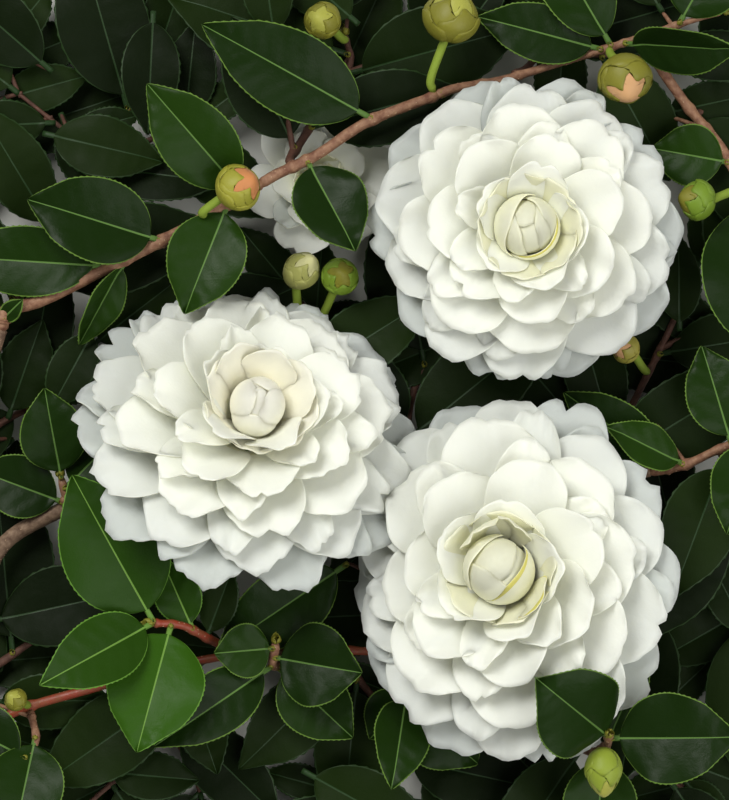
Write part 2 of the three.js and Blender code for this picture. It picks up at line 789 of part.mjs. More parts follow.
for (const piece of sprays) {
  if (piece.rule) {
    grow(piece);
  }
  const rings = piece.rule ? FILL_LEAF_RINGS : LEAF_RINGS;
  const leaves = piece.blades.map((blade) => blade.solid(rings, LEAF_THICK));
  const twigs = piece.twigs.map((twig) => twig.solid());
  nodes.push({ name: piece.name, solid: joined([piece.limb.solid(), ...twigs, ...leaves]), look: piece.look });
}

const group = new THREE.Group();
const bounds = new THREE.Box3();
for (const node of nodes) {
  const piece = named(node.name, node.solid, node.look);
  bounds.expandByObject(piece);
  group.add(piece);
}
const middle = bounds.getCenter(new THREE.Vector3());
group.position.set(-middle.x, -middle.y, -bounds.min.z);
group.updateMatrixWorld(true);

export default group;
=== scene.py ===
import json
import logging
import math
from dataclasses import astuple, dataclass, field
from enum import Enum

import bpy
import numpy as np
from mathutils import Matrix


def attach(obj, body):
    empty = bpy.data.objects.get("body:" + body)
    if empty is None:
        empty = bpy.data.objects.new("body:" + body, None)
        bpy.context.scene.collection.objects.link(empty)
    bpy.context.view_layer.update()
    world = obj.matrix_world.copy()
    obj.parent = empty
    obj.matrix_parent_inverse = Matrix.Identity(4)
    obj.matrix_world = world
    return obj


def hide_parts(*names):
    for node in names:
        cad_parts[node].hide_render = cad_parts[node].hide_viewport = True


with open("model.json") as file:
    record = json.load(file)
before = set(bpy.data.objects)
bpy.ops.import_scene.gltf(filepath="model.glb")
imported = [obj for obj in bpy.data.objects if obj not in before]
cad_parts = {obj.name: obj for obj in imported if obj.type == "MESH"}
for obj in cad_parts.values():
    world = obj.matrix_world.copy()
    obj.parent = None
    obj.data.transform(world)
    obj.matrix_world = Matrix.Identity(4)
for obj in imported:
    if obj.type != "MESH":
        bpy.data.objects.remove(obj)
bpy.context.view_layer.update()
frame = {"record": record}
log = logging.getLogger("camellia")

# Sizes are millimetres until placed() turns them into metres. Plan positions are steps of
# PLAN_STEP, x to the right and y down, counted from the upper left.
MM_PER_METRE = 1000.0
PLAN_STEP = 0.254
PLAN_MIDDLE = (364.5, 400.0)
CUT_END = (-50.0, 830.0, 3.2)

# The rule that the source grows by.
GAP = 0.35
SEAT_GAP = 0.48
TWIG_RUN = 1.6
ONWARD = 4
LEAF_FLOOR, NO_FLOOR = 0.36, -1000.0
PETIOLE_HALF = 0.75
PETIOLE_SHARE = 0.00075
PETIOLE_END = 0.1
LEAF_WIDEST = 0.8
LEAF_FULLNESS = 0.72
PETAL_BASE = 0.36
PETAL_WIDEST = 0.66
LEAST_BEND = 0.01
CLEAR = 2.7
OWN_CLEAR = 1.6
LEAF_START = 0.2
TRIES = ((1, 0), (1, -4), (1, 4), (0.8, 0), (0.8, -6), (0.62, 2))
LEAF_TURNS = (0, 25, 10)
BUD_STALK = 1.1
TWIG_RADII = (0.85, 0.6)
STEM_RADIUS = 3.2
FURTHEST = (116.0, 124.0)
UP = np.array([0.0, 0.0, 1.0])

Numbers = np.ndarray
Row = tuple[float, ...]
Colour = tuple[float, float, float]
Mesh, Piece, Material = bpy.types.Mesh, bpy.types.Object, bpy.types.Material
Node, Socket = bpy.types.Node, bpy.types.NodeSocket


def plan(x: float, y: float, z: float) -> Numbers:
    """A plan position and height as a point."""
    return np.array([(x - PLAN_MIDDLE[0]) * PLAN_STEP, (PLAN_MIDDLE[1] - y) * PLAN_STEP, z])


def unit(vector: Numbers) -> Numbers:
    """The vector at length one."""
    return vector / np.linalg.norm(vector)


def level(heading: float) -> Numbers:
    """The level direction at an angle in radians."""
    return np.array([math.cos(heading), math.sin(heading), 0.0])


def turned(vector: Numbers, axis: Numbers, angle: float) -> Numbers:
    """The vector turned about a unit axis by an angle in radians."""
    along = axis * np.dot(axis, vector)
    across = vector - along
    return along + across * math.cos(angle) + np.cross(axis, vector) * math.sin(angle)


class Seeded:
    """A repeatable stream of numbers."""

    def __init__(self, seed: int) -> None:
        """Starts the stream at a seed."""
        self.state = seed

    def next(self) -> float:
        """The next number, from 0 to 1."""
        self.state = (self.state * 1664525 + 1013904223) % 2**32
        return self.state / 2**32

    def spread(self, size: float) -> float:
        """The next number, from -size to size."""
        return (self.next() * 2 - 1) * size


class Path:
    """A smooth centripetal curve through three or more points."""

    def __init__(self, points: list[Numbers]) -> None:
        """Keeps the points, with one more past each end."""
        before, after = 2 * points[0] - points[1], 2 * points[-1] - points[-2]
        self.places = [before, *points, after]
        self.spans = len(points) - 1

    def point(self, t: float) -> Numbers:
        """The place at a share of the way.

        Args:
            t: 0 at the start and 1 at the end.

        Returns:
            The place.
        """
        whole = self.spans * t
        index = int(math.floor(whole))
        weight = whole - index
        if weight == 0 and index == self.spans:
            index, weight = self.spans - 1, 1.0
        p0, p1, p2, p3 = self.places[index : index + 4]
        pairs = ((p0, p1), (p1, p2), (p2, p3))
        d0, d1, d2 = (float(np.sum((b - a) ** 2)) ** 0.25 for a, b in pairs)
        t1 = ((p1 - p0) / d0 - (p2 - p0) / (d0 + d1) + (p2 - p1) / d1) * d1
        t2 = ((p2 - p1) / d1 - (p3 - p1) / (d1 + d2) + (p3 - p2) / d2) * d1
        square = -3 * p1 + 3 * p2 - 2 * t1 - t2
        cube = 2 * p1 - 2 * p2 + t1 + t2
        return p1 + t1 * weight + square * weight**2 + cube * weight**3

    def tangent(self, t: float) -> Numbers:
        """The unit direction at a share of the way."""
        return unit(self.point(min(t + 0.0001, 1)) - self.point(max(t - 0.0001, 0)))


def leaf_half(u: Numbers) -> Numbers:
    """Half the width of a leaf along its length, as a share of the widest."""
    t = np.clip((u - PETIOLE_END) / (1 - PETIOLE_END), 0, 1)
    full = np.maximum(np.sin(np.pi * t**LEAF_WIDEST), 0) ** LEAF_FULLNESS
    return np.where(u <= PETIOLE_END, PETIOLE_SHARE, full)


def petal_half(u: Numbers) -> Numbers:
    """Half the width of a petal along its length, as a share of the widest."""
    inner = PETAL_BASE + (1 - PETAL_BASE) * np.sin(np.pi / 2 * u / PETAL_WIDEST)
    t = (u - PETAL_WIDEST) / (1 - PETAL_WIDEST)
    return np.where(u < PETAL_WIDEST, inner, np.sqrt(np.maximum(1 - t * t, 0)))


@dataclass
class Blade:
    """A leaf or petal: an arched midrib from its root, and a width across it.

    It grows forward from its root, with its face to up, and its tip lies at reach and
    rise from there. The arch, the turn about the midrib and the lift of both halves are
    bend, roll and fold, in radians.
    """

    root: Numbers
    forward: Numbers
    up: Numbers
    reach: float
    rise: float
    bend: float
    width: float
    roll: float = 0.0
    fold: float = 0.0
    petal: bool = False

    def __post_init__(self) -> None:
        """Works out the arch, the outline and how low it may lie."""
        self.side = np.cross(self.up, self.forward)
        if abs(self.bend) < LEAST_BEND:
            self.bend = LEAST_BEND
        chord = math.hypot(self.reach, self.rise)
        self.length = chord * (self.bend / 2) / math.sin(self.bend / 2)
        self.start = math.atan2(self.rise, self.reach) + self.bend / 2
        self.half = petal_half if self.petal else leaf_half
        self.floor = NO_FLOOR if self.petal else LEAF_FLOOR

    def frames(self, u: Numbers) -> tuple[Numbers, Numbers]:
        """The face and side directions at shares of the length."""
        angle = (self.start - self.bend * u)[..., None]
        normal = -self.forward * np.sin(angle) + self.up * np.cos(angle)
        side = self.side * math.cos(self.roll) + normal * math.sin(self.roll)
        return normal * math.cos(self.roll) - self.side * math.sin(self.roll), side

    def half_width(self, u: Numbers) -> Numbers:
        """Half the width at shares of the length."""
        return np.maximum(self.width / 2 * self.half(u), min(PETIOLE_HALF, self.width / 4))

    def surface(self, u: Numbers, across: Numbers, lift: Numbers) -> tuple[Numbers, Numbers]:
        """Places on the blade.

        Args:
            u: shares of the length.
            across: distances from the midrib.
            lift: how far each place is raised off the plain blade.

        Returns:
            The places and the face directions there.
        """
        angle = self.start - self.bend * u
        scale = self.length / self.bend
        ahead = scale * (math.sin(self.start) - np.sin(angle))
        above = scale * (np.cos(angle) - math.cos(self.start))
        place = self.root + self.forward * ahead[..., None] + self.up * above[..., None]
        normal, side = self.frames(u)
        place = place + side * across[..., None]
        place = place + normal * (np.abs(across) * math.tan(self.fold) + lift)[..., None]
        place[..., 2] = np.maximum(place[..., 2], self.floor)
        return place, normal

    def samples(self, start: float, rows: int = 11, columns: int = 5) -> Numbers:
        """Places spread over the blade, from a share of its length to its tip."""
        u = np.linspace(start, 1, rows)[:, None] * np.ones((1, columns))
        v = np.linspace(-1, 1, columns)[None, :] * np.ones((rows, 1))
        v[-1] = 0
        return self.surface(u, v * self.half_width(u), np.zeros_like(u))[0].reshape(-1, 3)


@dataclass
class Limb:
    """A tapering limb or twig along a smooth path."""

    points: list[Numbers]
    start_radius: float
    end_radius: float
    segments: int
    joints: list[float] = field(default_factory=list)

    def __post_init__(self) -> None:
        """Draws the path."""
        self.path = Path(self.points)

    def radius(self, t: float) -> float:
        """The radius at a share of the way."""
        return self.start_radius + (self.end_radius - self.start_radius) * t

    def nearest(self, x: float, y: float) -> float:
        """The share of the way that lies nearest to a plan position."""
        wanted = plan(x, y, 0)[:2]
        places = np.array([self.path.point(i / 100)[:2] for i in range(101)])
        return int(np.argmin(np.hypot(*(places - wanted).T))) / 100

    def onward(self) -> list[Numbers]:
        """Two points straight ahead of the tip, for the twig that goes on from it."""
        tip, ahead = self.path.point(1), self.path.tangent(1)
        return [tip + ahead * GAP, tip + ahead * ONWARD]

    def samples(self) -> Numbers:
        """Places round the limb."""
        spots = []
        count = self.segments * 4
        for i in range(count + 1):
            place, tangent = self.path.point(i / count), self.path.tangent(i / count)
            side = unit(np.cross(tangent, UP)) * self.radius(i / count)
            high = UP * self.radius(i / count)
            spots += [place + side, place - side, place + high, place - high]
        return np.array(spots)


def seated(limb: Limb, x: float, y: float, onward: Numbers) -> list[Numbers]:
    """Two points out from a limb's side where a twig begins.

    Args:
        limb: the limb that carries the twig.
        x: plan position of the seat.
        y: plan position of the seat.
        onward: where the twig goes.

    Returns:
        The first points of the twig.
    """
    t = limb.nearest(x, y)
    limb.joints.append(t)
    place, tangent = limb.path.point(t), limb.path.tangent(t)
    out = onward - place
    out = unit(out - tangent * np.dot(out, tangent))
    clear = limb.radius(t) + SEAT_GAP
    return [place + out * away for away in (clear, clear + TWIG_RUN)]


class Space:
    """Keeps the places that a new leaf has to stay clear of."""

    def __init__(self) -> None:
        """Starts empty."""
        self.kept: list[tuple[str, Numbers, Numbers, Numbers]] = []

    def keep(self, owner: str, spots: Numbers) -> None:
        """Adds places that belong to an owner."""
        self.kept.append((owner, spots, spots.min(axis=0), spots.max(axis=0)))

    def near(self, spots: Numbers, owner: str, others: float, own: float) -> bool:
        """Whether places come too close to what is kept.

        Args:
            spots: the places of the new leaf or twig.
            owner: the piece that it belongs to.
            others: least distance to the other pieces.
            own: least distance to its own piece, or 0 for none.

        Returns:
            True if it has no room.
        """
        low, high = spots.min(axis=0), spots.max(axis=0)
        for name, kept, least, most in self.kept:
            clear = own if name == owner else others
            if clear == 0 or np.any(low - clear > most) or np.any(high + clear < least):
                continue
            away = np.sum((spots[:, None, :] - kept[None, :, :]) ** 2, axis=2)
            if away.min() < clear * clear:
                return True
        return False


@dataclass(frozen=True)
class Ring:
    """One ring of petals in a bloom, in millimetres and degrees."""

    count: int
    phase: float
    root_radius: float
    root_height: float
    reach: float
    height: float
    bend: float
    width: float
    fold: float


FULL_RINGS = (
    Ring(10, 0, 5, 4.5, 39.5, 10, 44, 24, 3), Ring(10, 18, 5, 7.5, 37.5, 14, 46, 23, 4),
    Ring(8, 6, 5.5, 11, 31.5, 21, 50, 23, 6), Ring(7, 20, 5.5, 15, 24.5, 28, 50, 20, 8),
    Ring(5, 4, 5, 19.5, 15.5, 34, 40, 17, 11),
)
OPENING_RINGS = (Ring(6, 10, 5, 4.5, 27, 12, 30, 22, 6), Ring(5, 40, 5, 8, 18, 19, 20, 18, 10))


class Centre(Enum):
    """How the middle of a bloom stands."""

    CUP = "cup"
    CLUSTER = "cluster"
    BALL = "ball"
    OPENING = "opening"


@dataclass(frozen=True)
class CentrePetal:
    """One standing petal of a bloom's middle, from the axis out, in millimetres and degrees."""

    azimuth: float
    root_radius: float
    root_height: float
    reach: float
    height: float
    bend: float
    width: float
    roll: float = 0.0
    gold: bool = False


@dataclass(frozen=True)
class Wrap:
    """One petal folded round the middle and over its top, in millimetres and degrees."""

    azimuth: float
    radius: float
    height: float
    over: float
    wide: float
    gold: bool = False


def round_of(count: int, phase: float, *pattern: float) -> list[CentrePetal]:
    """Standing petals of the middle in an even ring.

    Args:
        count: how many.
        phase: azimuth of the first in degrees.
        pattern: root radius, root height, reach, height, bend and width.

    Returns:
        The petals.
    """
    return [CentrePetal(360 / count * i + phase, *pattern) for i in range(count)]


CENTRES: dict[Centre, list[CentrePetal | Wrap]] = {
    Centre.CUP: [
        *round_of(5, 36, 5, 21, 13, 34.2, 12, 17),
        CentrePetal(2, 6.5, 23, 13.6, 35, 16, 13.5, 6), Wrap(160, 8.3, 28.8, -34, 84),
        Wrap(322, 8.0, 28.6, -54, 88, True), Wrap(30, 7.6, 28.8, -36, 70),
        Wrap(195, 7.2, 29.2, -18, 72), Wrap(5, 6.9, 29.3, -14, 62), Wrap(100, 6.6, 29.4, -2, 62),
        Wrap(285, 6.3, 29.6, 12, 68),
    ],
    Centre.CLUSTER: [
        CentrePetal(262, 4.8, 22, 12.5, 31, 30, 17), CentrePetal(215, 4.8, 22, 14, 32.6, 24, 15),
        CentrePetal(305, 4.8, 22, 13.6, 32.2, 24, 15), CentrePetal(340, 4.6, 22, 13.8, 34, 16, 15),
        CentrePetal(160, 4.6, 22, 13, 36, 16, 14), CentrePetal(20, 4.4, 22, 12.4, 37, 12, 15),
        CentrePetal(118, 4.4, 22, 12.8, 37.6, 12, 15), CentrePetal(72, 4.2, 22, 10, 38.6, 0, 14.5),
        Wrap(256, 6.6, 28.4, -46, 54), Wrap(180, 6.2, 29.8, -12, 52), Wrap(322, 6.1, 29.8, -10, 54),
        Wrap(60, 5.9, 30, -8, 60), Wrap(120, 5.6, 30.2, -2, 48), Wrap(250, 5.4, 30.4, 8, 42),
        Wrap(208, 5.1, 30.6, 14, 46), Wrap(308, 4.8, 30.8, 16, 48),
    ],
    Centre.BALL: [
        *round_of(5, 15, 4.8, 21, 12.6, 34, 10, 16),
        CentrePetal(118, 6.4, 25, 8.2, 38.4, -70, 12, 10),
        CentrePetal(66, 6.8, 26, 9.6, 37.6, -66, 9.5, -12),
        CentrePetal(318, 6.6, 25, 13, 35, 8, 12, 6, True), Wrap(150, 7.8, 30.2, -36, 66),
        Wrap(325, 7.5, 30.0, -42, 84, True), Wrap(235, 7.1, 30.2, -14, 70),
        Wrap(140, 6.8, 30.4, 34, 78), Wrap(345, 6.4, 30.2, 6, 84),
    ],
    Centre.OPENING: [
        *round_of(4, 0, 4.5, 6, 9, 19, -30, 14),
        Wrap(30, 5.4, 14, -10, 74), Wrap(150, 5.0, 14, 4, 70), Wrap(270, 4.6, 14, 14, 70),
    ],
}


@dataclass
class Bloom:
    """A double bloom: rings of petals, from the outside in, round a middle.

    Its root is a plan position and height, and its axis leans by tilt towards an azimuth,
    in degrees. Its petals are longer by the share stretch along the azimuth along, and
    shorter across it.
    """

    x: float
    y: float
    z: float
    tilt: float
    towards: float
    size: float
    seed: int
    rings: tuple[Ring, ...]
    centre: Centre
    stretch: float = 0.0
    along: float = 0.0

    def __post_init__(self) -> None:
        """Stands the axis and grows the petals."""
        self.root, towards = plan(self.x, self.y, self.z), math.radians(self.towards)
        self.lean = np.array([-math.sin(towards), math.cos(towards), 0.0])
        self.axis = turned(UP, self.lean, math.radians(self.tilt))
        self.petals = self.grown(self.rings, self.seed)

    def outward(self, azimuth: float) -> Numbers:
        """The direction away from the axis at an azimuth in radians."""
        return turned(level(azimuth), self.lean, math.radians(self.tilt))

    def grown(self, given: tuple[Ring, ...], seed: int) -> list[list[Blade]]:
        """The petals of each ring.

        Args:
            given: the rings.
            seed: start of their random draws.

        Returns:
            The petals, ring by ring.
        """
        random = Seeded(seed)
        rings = []
        for ring in given:
            blades = []
            for i in range(ring.count):
                azimuth = math.radians(360 / ring.count * i + ring.phase + random.spread(3))
                out = self.outward(azimuth)
                root = self.root + out * ring.root_radius * self.size
                root = root + self.axis * ring.root_height * self.size
                reach = (ring.reach + random.spread(1.2) - ring.root_radius) * self.size
                reach *= 1 + self.stretch * math.cos(2 * (azimuth - math.radians(self.along)))
                rise = (ring.height + random.spread(0.7) - ring.root_height) * self.size
                roll = math.radians(8 + random.spread(2))
                turns = (roll, math.radians(ring.fold), True)
                sizes = (reach, rise, math.radians(ring.bend), ring.width * self.size)
                blades.append(Blade(root, out, self.axis, *sizes, *turns))
            rings.append(blades)
        return rings

    def between(self, share: float) -> list[list[Blade]]:
        """Narrower petals that stand between the rings.

        Args:
            share: their width as a share of the rings'.

        Returns:
            The petals, ring by ring.
        """
        added = []
        for low, high in zip(self.rings, self.rings[1:]):
            mean = [(a + b) / 2 for a, b in zip(astuple(low)[2:], astuple(high)[2:])]
            mean[5] *= share
            added.append(Ring(low.count, low.phase + 180 / low.count + 7, *mean))
        return self.grown(tuple(added), self.seed + 300)

    def standing(self, petal: CentrePetal) -> Blade:
        """A standing petal of the middle."""
        out = self.outward(math.radians(petal.azimuth))
        root = self.root + (out * petal.root_radius + self.axis * petal.root_height) * self.size
        reach = (petal.reach - petal.root_radius) * self.size
        rise = (petal.height - petal.root_height) * self.size
        sizes = (reach, rise, math.radians(petal.bend), petal.width * self.size)
        return Blade(root, out, self.axis, *sizes, math.radians(petal.roll), 0, True)

    def samples(self) -> Numbers:
        """Places spread over all the petals."""
        return np.concatenate([blade.samples(0.1) for ring in self.petals for blade in ring])


@dataclass
class Bud:
    """An egg-shaped bud at a plan position and height, on a stalk from a twig's side."""

    x: float
    y: float
    z: float
    radius: float
    long: float
    aim: Row
    limb: Limb
    from_x: float
    from_y: float

    def __post_init__(self) -> None:
        """Places the bud and grows its stalk."""
        self.middle, self.axis = plan(self.x, self.y, self.z), unit(np.array(self.aim, dtype=float))
        foot = self.middle - self.axis * self.long * 0.35
        path = [*seated(self.limb, self.from_x, self.from_y, foot), foot]
        self.stalk = Limb(path, BUD_STALK, BUD_STALK, 4)

    def samples(self) -> Numbers:
        """Places round the bud and its stalk."""
        spots = []
        for side in (-1, -0.5, 0, 0.5, 1):
            wide = self.radius * math.sqrt(1 - side * side * 0.9)
            place = self.middle + self.axis * side * self.long / 2
            spots += [place + level(i / 6 * math.pi * 2) * wide for i in range(6)]
        return np.concatenate([np.array(spots), self.stalk.samples()])


@dataclass(frozen=True)
class Rule:
    """How a spray grows from its one stem."""

    leaves: int
    seed: int
    first: float = 0.2
    spread: float = 52
    length: float = 44
    lift: float = 4
    rise: float = 1
    twigs: int = 2
    twig_length: float = 34


class Tone(Enum):
    """How light the leaves of a spray are; the fillers' tone is darker greens painted as the shade
    inside the branch.
    """

    SUNLIT = "sunlit"
    # Painted shade: darker greens for the fillers inside the branch.
    DEEP_PAINTED_SHADE = "deep_painted_shade"
    YOUNG = "young"


@dataclass
class Spray:
    """A twig with its leaves."""

    name: str
    limb: Limb
    blades: list[Blade]
    rule: Rule | None = None
    tone: Tone = Tone.SUNLIT
    twigs: list[Limb] = field(default_factory=list)
    extra: list[Blade] = field(default_factory=list)


def leaf_to(root: Numbers, tip: Numbers, width: float, *turns: float) -> Blade:
    """A leaf from its root to its tip.

    Args:
        root: where its stalk starts.
        tip: where it ends.
        width: its widest place.
        turns: its roll, arch and fold in degrees.

    Returns:
        The leaf.
    """
    ahead = (tip - root) * np.array([1, 1, 0])
    reach = float(np.linalg.norm(ahead))
    roll, bend, fold = (math.radians(angle) for angle in turns)
    return Blade(root, ahead / reach, UP, reach, tip[2] - root[2], bend, width, roll, fold)


def within(spots: Numbers) -> bool:
    """Whether places stay inside the branch's reach."""
    return bool(np.all(np.abs(spots[:, :2]) < FURTHEST))


# Limbs: the seat on the stem, where the bough heads, its radii, and its plan positions and heights.
STEM = ((-50, 830, 3.2), (-50, 750, 8), (-52, 600, 18), (-38, 430, 27), (-3, 327, 31))
BOUGHS: dict[str, tuple[Row, Row, Row, tuple[Row, ...]]] = {
    "middle_bough": (
        (-52, 600), (-20, 575, 20), (2.2, 1.4),
        (
            (0, 545, 20), (50, 515, 20), (150, 480, 17), (260, 470, 14), (380, 455, 13),
            (500, 465, 13), (600, 480, 16), (655, 472, 20),
        ),
    ),
    "lower_bough": (
        (-50, 752), (-25, 742, 11), (1.8, 1.3),
        (
            (0, 722, 15), (90, 692, 18), (180, 668, 16), (275, 655, 15), (400, 660, 13),
            (520, 700, 12), (565, 737, 14),
        ),
    ),
}

# Sprays: the name, what bears it and where on its side, the radii, plan positions and heights of
# the twig, and its leaves as root x, y, tip x, y and height, width, roll, arch and fold. A short
# leaf row ends in LEAF_TURNS.
SPRAYS: tuple[tuple[str, str, Row, Row, list[Row], list[Row]], ...] = (
    (
        "upper_spray_1", "stem", (), (2.3, 2),
        [(40, 300, 32.5), (105, 268, 34), (185, 228, 35), (262, 182, 34.5)],
        [
            (5, 322, 22, 299, 36, 5, 0, 20, 5), (105, 262, -60, 255, 27, 18, 0, 25, 8),
            (158, 238, 27, 199, 41, 21.6, 5, 40, 18), (133, 272, 77, 345, 29, 10, -35, 25, 25),
            (230, 206, 184, 314, 39, 20, 5, 30, 10), (244, 193, 147, 84, 42, 19, -5, 30, 12),
        ],
    ),
    (
        "upper_spray_2", "upper_spray_1", (), (2, 1.8),
        [(315, 155, 34), (365, 122, 33), (438, 93, 30.5)],
        [(372, 118, 202, 25, 43, 21.6), (308, 161, 356, 251, 41, 19, -14, 30, 12)],
    ),
    (
        "upper_spray_3", "upper_spray_2", (), (1.8, 1),
        [(500, 78, 27), (560, 60, 24.5), (610, 45, 25), (660, 28, 26), (725, 8, 26)],
        [
            (605, 46, 478, 13, 26, 15), (615, 43, 535, -88, 28, 19, 10, 25, 10),
            (625, 40, 740, 50, 37, 16, 45, 25, 15), (680, 22, 735, -75, 27, 20, 0, 25, 8),
            (722, 9, 800, -35, 22, 17, 0, 25, 8),
        ],
    ),
    (
        "right_shoot", "upper_spray_3", (648, 32), (1.5, 1),
        [(690, 100, 19), (729, 150, 22), (745, 190, 25), (765, 240, 26)],
        [
            (735, 160, 655, 145, 20, 16, 0, 20, 8), (745, 192, 770, 365, 33, 28, -5, 30, 8),
            (765, 238, 830, 180, 24, 18, 0, 20, 8),
        ],
    ),
    (
        "right_spray", "middle_bough", (), (1.4, 0.9),
        [(690, 465, 23), (729, 447, 26), (765, 438, 27)],
        [
            (672, 467, 566, 392, 20, 15), (688, 466, 608, 426, 30, 12, 25, 20, 10),
            (735, 446, 705, 345, 24, 16), (760, 440, 728, 535, 36, 17),
            (764, 438, 835, 400, 22, 18),
        ],
    ),
    (
        "young_spray", "lower_bough", (222, 660), (1.3, 0.9),
        [(205, 640, 24), (180, 627, 29), (152, 624, 32)],
        [
            (153, 624, 72, 475, 40, 27, 0, 30, 8), (152, 624, 42, 683, 44, 17.5, 5, 30, 12),
            (170, 626, 137, 752, 46, 25, 0, 30, 8), (192, 632, 160, 560, 26, 12, 0, 20, 10),
        ],
    ),
    (
        "lower_left_spray", "lower_bough", (28, 715), (1, 0.8),
        [(32, 745, 22), (22, 765, 24)],
        [(31, 740, 10, 850, 32, 20), (24, 762, -60, 720, 20, 17)],
    ),
    (
        "left_spray", "middle_bough", (60, 512), (1.1, 0.8),
        [(62, 500, 23), (58, 478, 24)],
        [
            (58, 480, 42, 388, 28, 17), (62, 505, -30, 470, 20, 16), (61, 490, 130, 420, 16, 17),
        ],
    ),
    (
        "lower_mid_spray", "lower_bough", (283, 656), (1.2, 0.9),
        [(277, 668, 19.5), (272, 668, 24), (275, 645, 28)],
        [
            (274, 650, 213, 655, 30, 14), (272, 668, 153, 748, 34, 16),
            (273, 660, 362, 674, 34, 21.6, 0, 25, 8), (276, 670, 353, 742, 22, 18),
            (275, 648, 350, 572, 25, 20),
        ],
    ),
    (
        "lower_centre_spray", "lower_bough", (380, 660), (1.1, 0.8),
        [(408, 690, 15), (404, 705, 17)],
        [
            (406, 697, 392, 792, 30, 15, -15, 25, 15), (407, 692, 370, 745, 15, 13),
            (404, 703, 480, 770, 14, 20),
        ],
    ),
    (
        "front_spray", "lower_bough", (), (1.3, 1),
        [(592, 755, 24), (606, 745, 43), (607, 732, 53)],
        [
            (606, 734, 533, 673, 70, 24, 0, 34, 8), (606, 736, 735, 733, 59, 23, 0, 30, 10),
            (603, 746, 650, 650, 30, 9, 30, 25, 15), (600, 750, 600, 860, 30, 19),
        ],
    ),
)

# Fillers: what bears each and where, its twig, and how many leaves its rule tries.
FILLERS: tuple[tuple[str, Row, list[Row], int], ...] = (
    ("stem", (-38, 440), [(-15, 430, 19), (40, 400, 13), (140, 360, 8)], 6),
    ("upper_spray_1", (8, 320), [(15, 290, 25), (50, 230, 16), (110, 130, 10), (150, 60, 8)], 7),
    ("upper_spray_2", (292, 166), [(300, 140, 25), (330, 90, 19), (350, 60, 17), (345, 30, 16)], 7),
    ("upper_spray_3", (520, 73), [(527, 65, 20), (540, 50, 17), (560, 15, 15)], 6),
    ("right_shoot", (692, 105), [(700, 108, 15), (725, 100, 12), (760, 80, 9)], 5),
    ("middle_bough", (405, 456), [(407, 435, 10), (415, 390, 8), (450, 330, 5), (510, 270, 4)], 6),
    ("middle_bough", (608, 480), [(612, 455, 12), (640, 400, 9), (675, 330, 7), (700, 270, 7)], 7),
    ("right_spray", (722, 450), [(724, 470, 21), (735, 530, 14), (745, 620, 9)], 5),
    ("lower_bough", (350, 656), [(355, 680, 10), (395, 730, 7), (425, 770, 6)], 6),
    ("lower_bough", (535, 712), [(545, 724, 9), (600, 715, 8), (690, 770, 7)], 6),
    ("lower_bough", (180, 668), [(178, 690, 12), (170, 735, 8), (190, 780, 6)], 6),
    ("stem", (-50, 690), [(-25, 680, 10), (20, 650, 8), (90, 600, 6)], 6),
    ("middle_bough", (112, 490), [(114, 470, 13), (120, 430, 9), (220, 390, 6)], 6),
    ("middle_bough", (470, 460), [(468, 485, 10), (460, 560, 6), (480, 640, 5)], 6),
)

# Flower stalks: what bears each and where, and the points between there and the bloom.
STALKS: tuple[tuple[str, Row, list[Row]], ...] = (
    ("upper_spray_3", (484, 82), [(496, 120, 19), (518, 190, 16)]),
    ("middle_bough", (226, 474), []),
    ("middle_bough", (502, 465), [(512, 520, 15)]),
    ("middle_bough", (292, 466), [(298, 430, 9), (305, 370, 6), (314, 270, 3)]),
)

# Buds: the middle, radius, length and aim, what bears each, and where.
BUDS: tuple[tuple[Row, Row, str, Row], ...] = (
    ((240, 187, 44.5, 6.1, 12.5), (0.6, 0.3, 0.7), "upper_spray_1", (206, 216)),
    ((322, 18, 31, 4.8, 10), (-0.3, 0.1, 0.9), "fill_spray_3", (345, 35)),
    ((452, 14, 38, 7.4, 15), (0.2, 0.8, 0.5), "upper_spray_2", (434, 95)),
    ((626, 80, 38, 7, 14), (0.1, -0.75, 0.65), "upper_spray_3", (612, 45)),
    ((697, 199, 34, 5.3, 10.5), (-0.9, 0.1, 0.45), "right_shoot", (744, 188)),
    ((628, 348, 22, 3.8, 8), (-0.6, 0.1, 0.8), "fill_spray_7", (652, 370)),
    ((602, 770, 51, 4.8, 13.5), (0, -1, 0.15), "front_spray", (605, 748)),
    ((340, 275, 24, 4.8, 10), (0.1, 0.2, 0.95), "bloom_4_stalk", (308, 330)),
    ((302, 268, 23, 4.6, 14), (0.4, 0.45, 0.8), "bloom_4_stalk", (305, 360)),
    ((12, 702, 26, 3, 6.5), (-0.4, 0.4, 0.8), "lower_bough", (24, 716)),
)


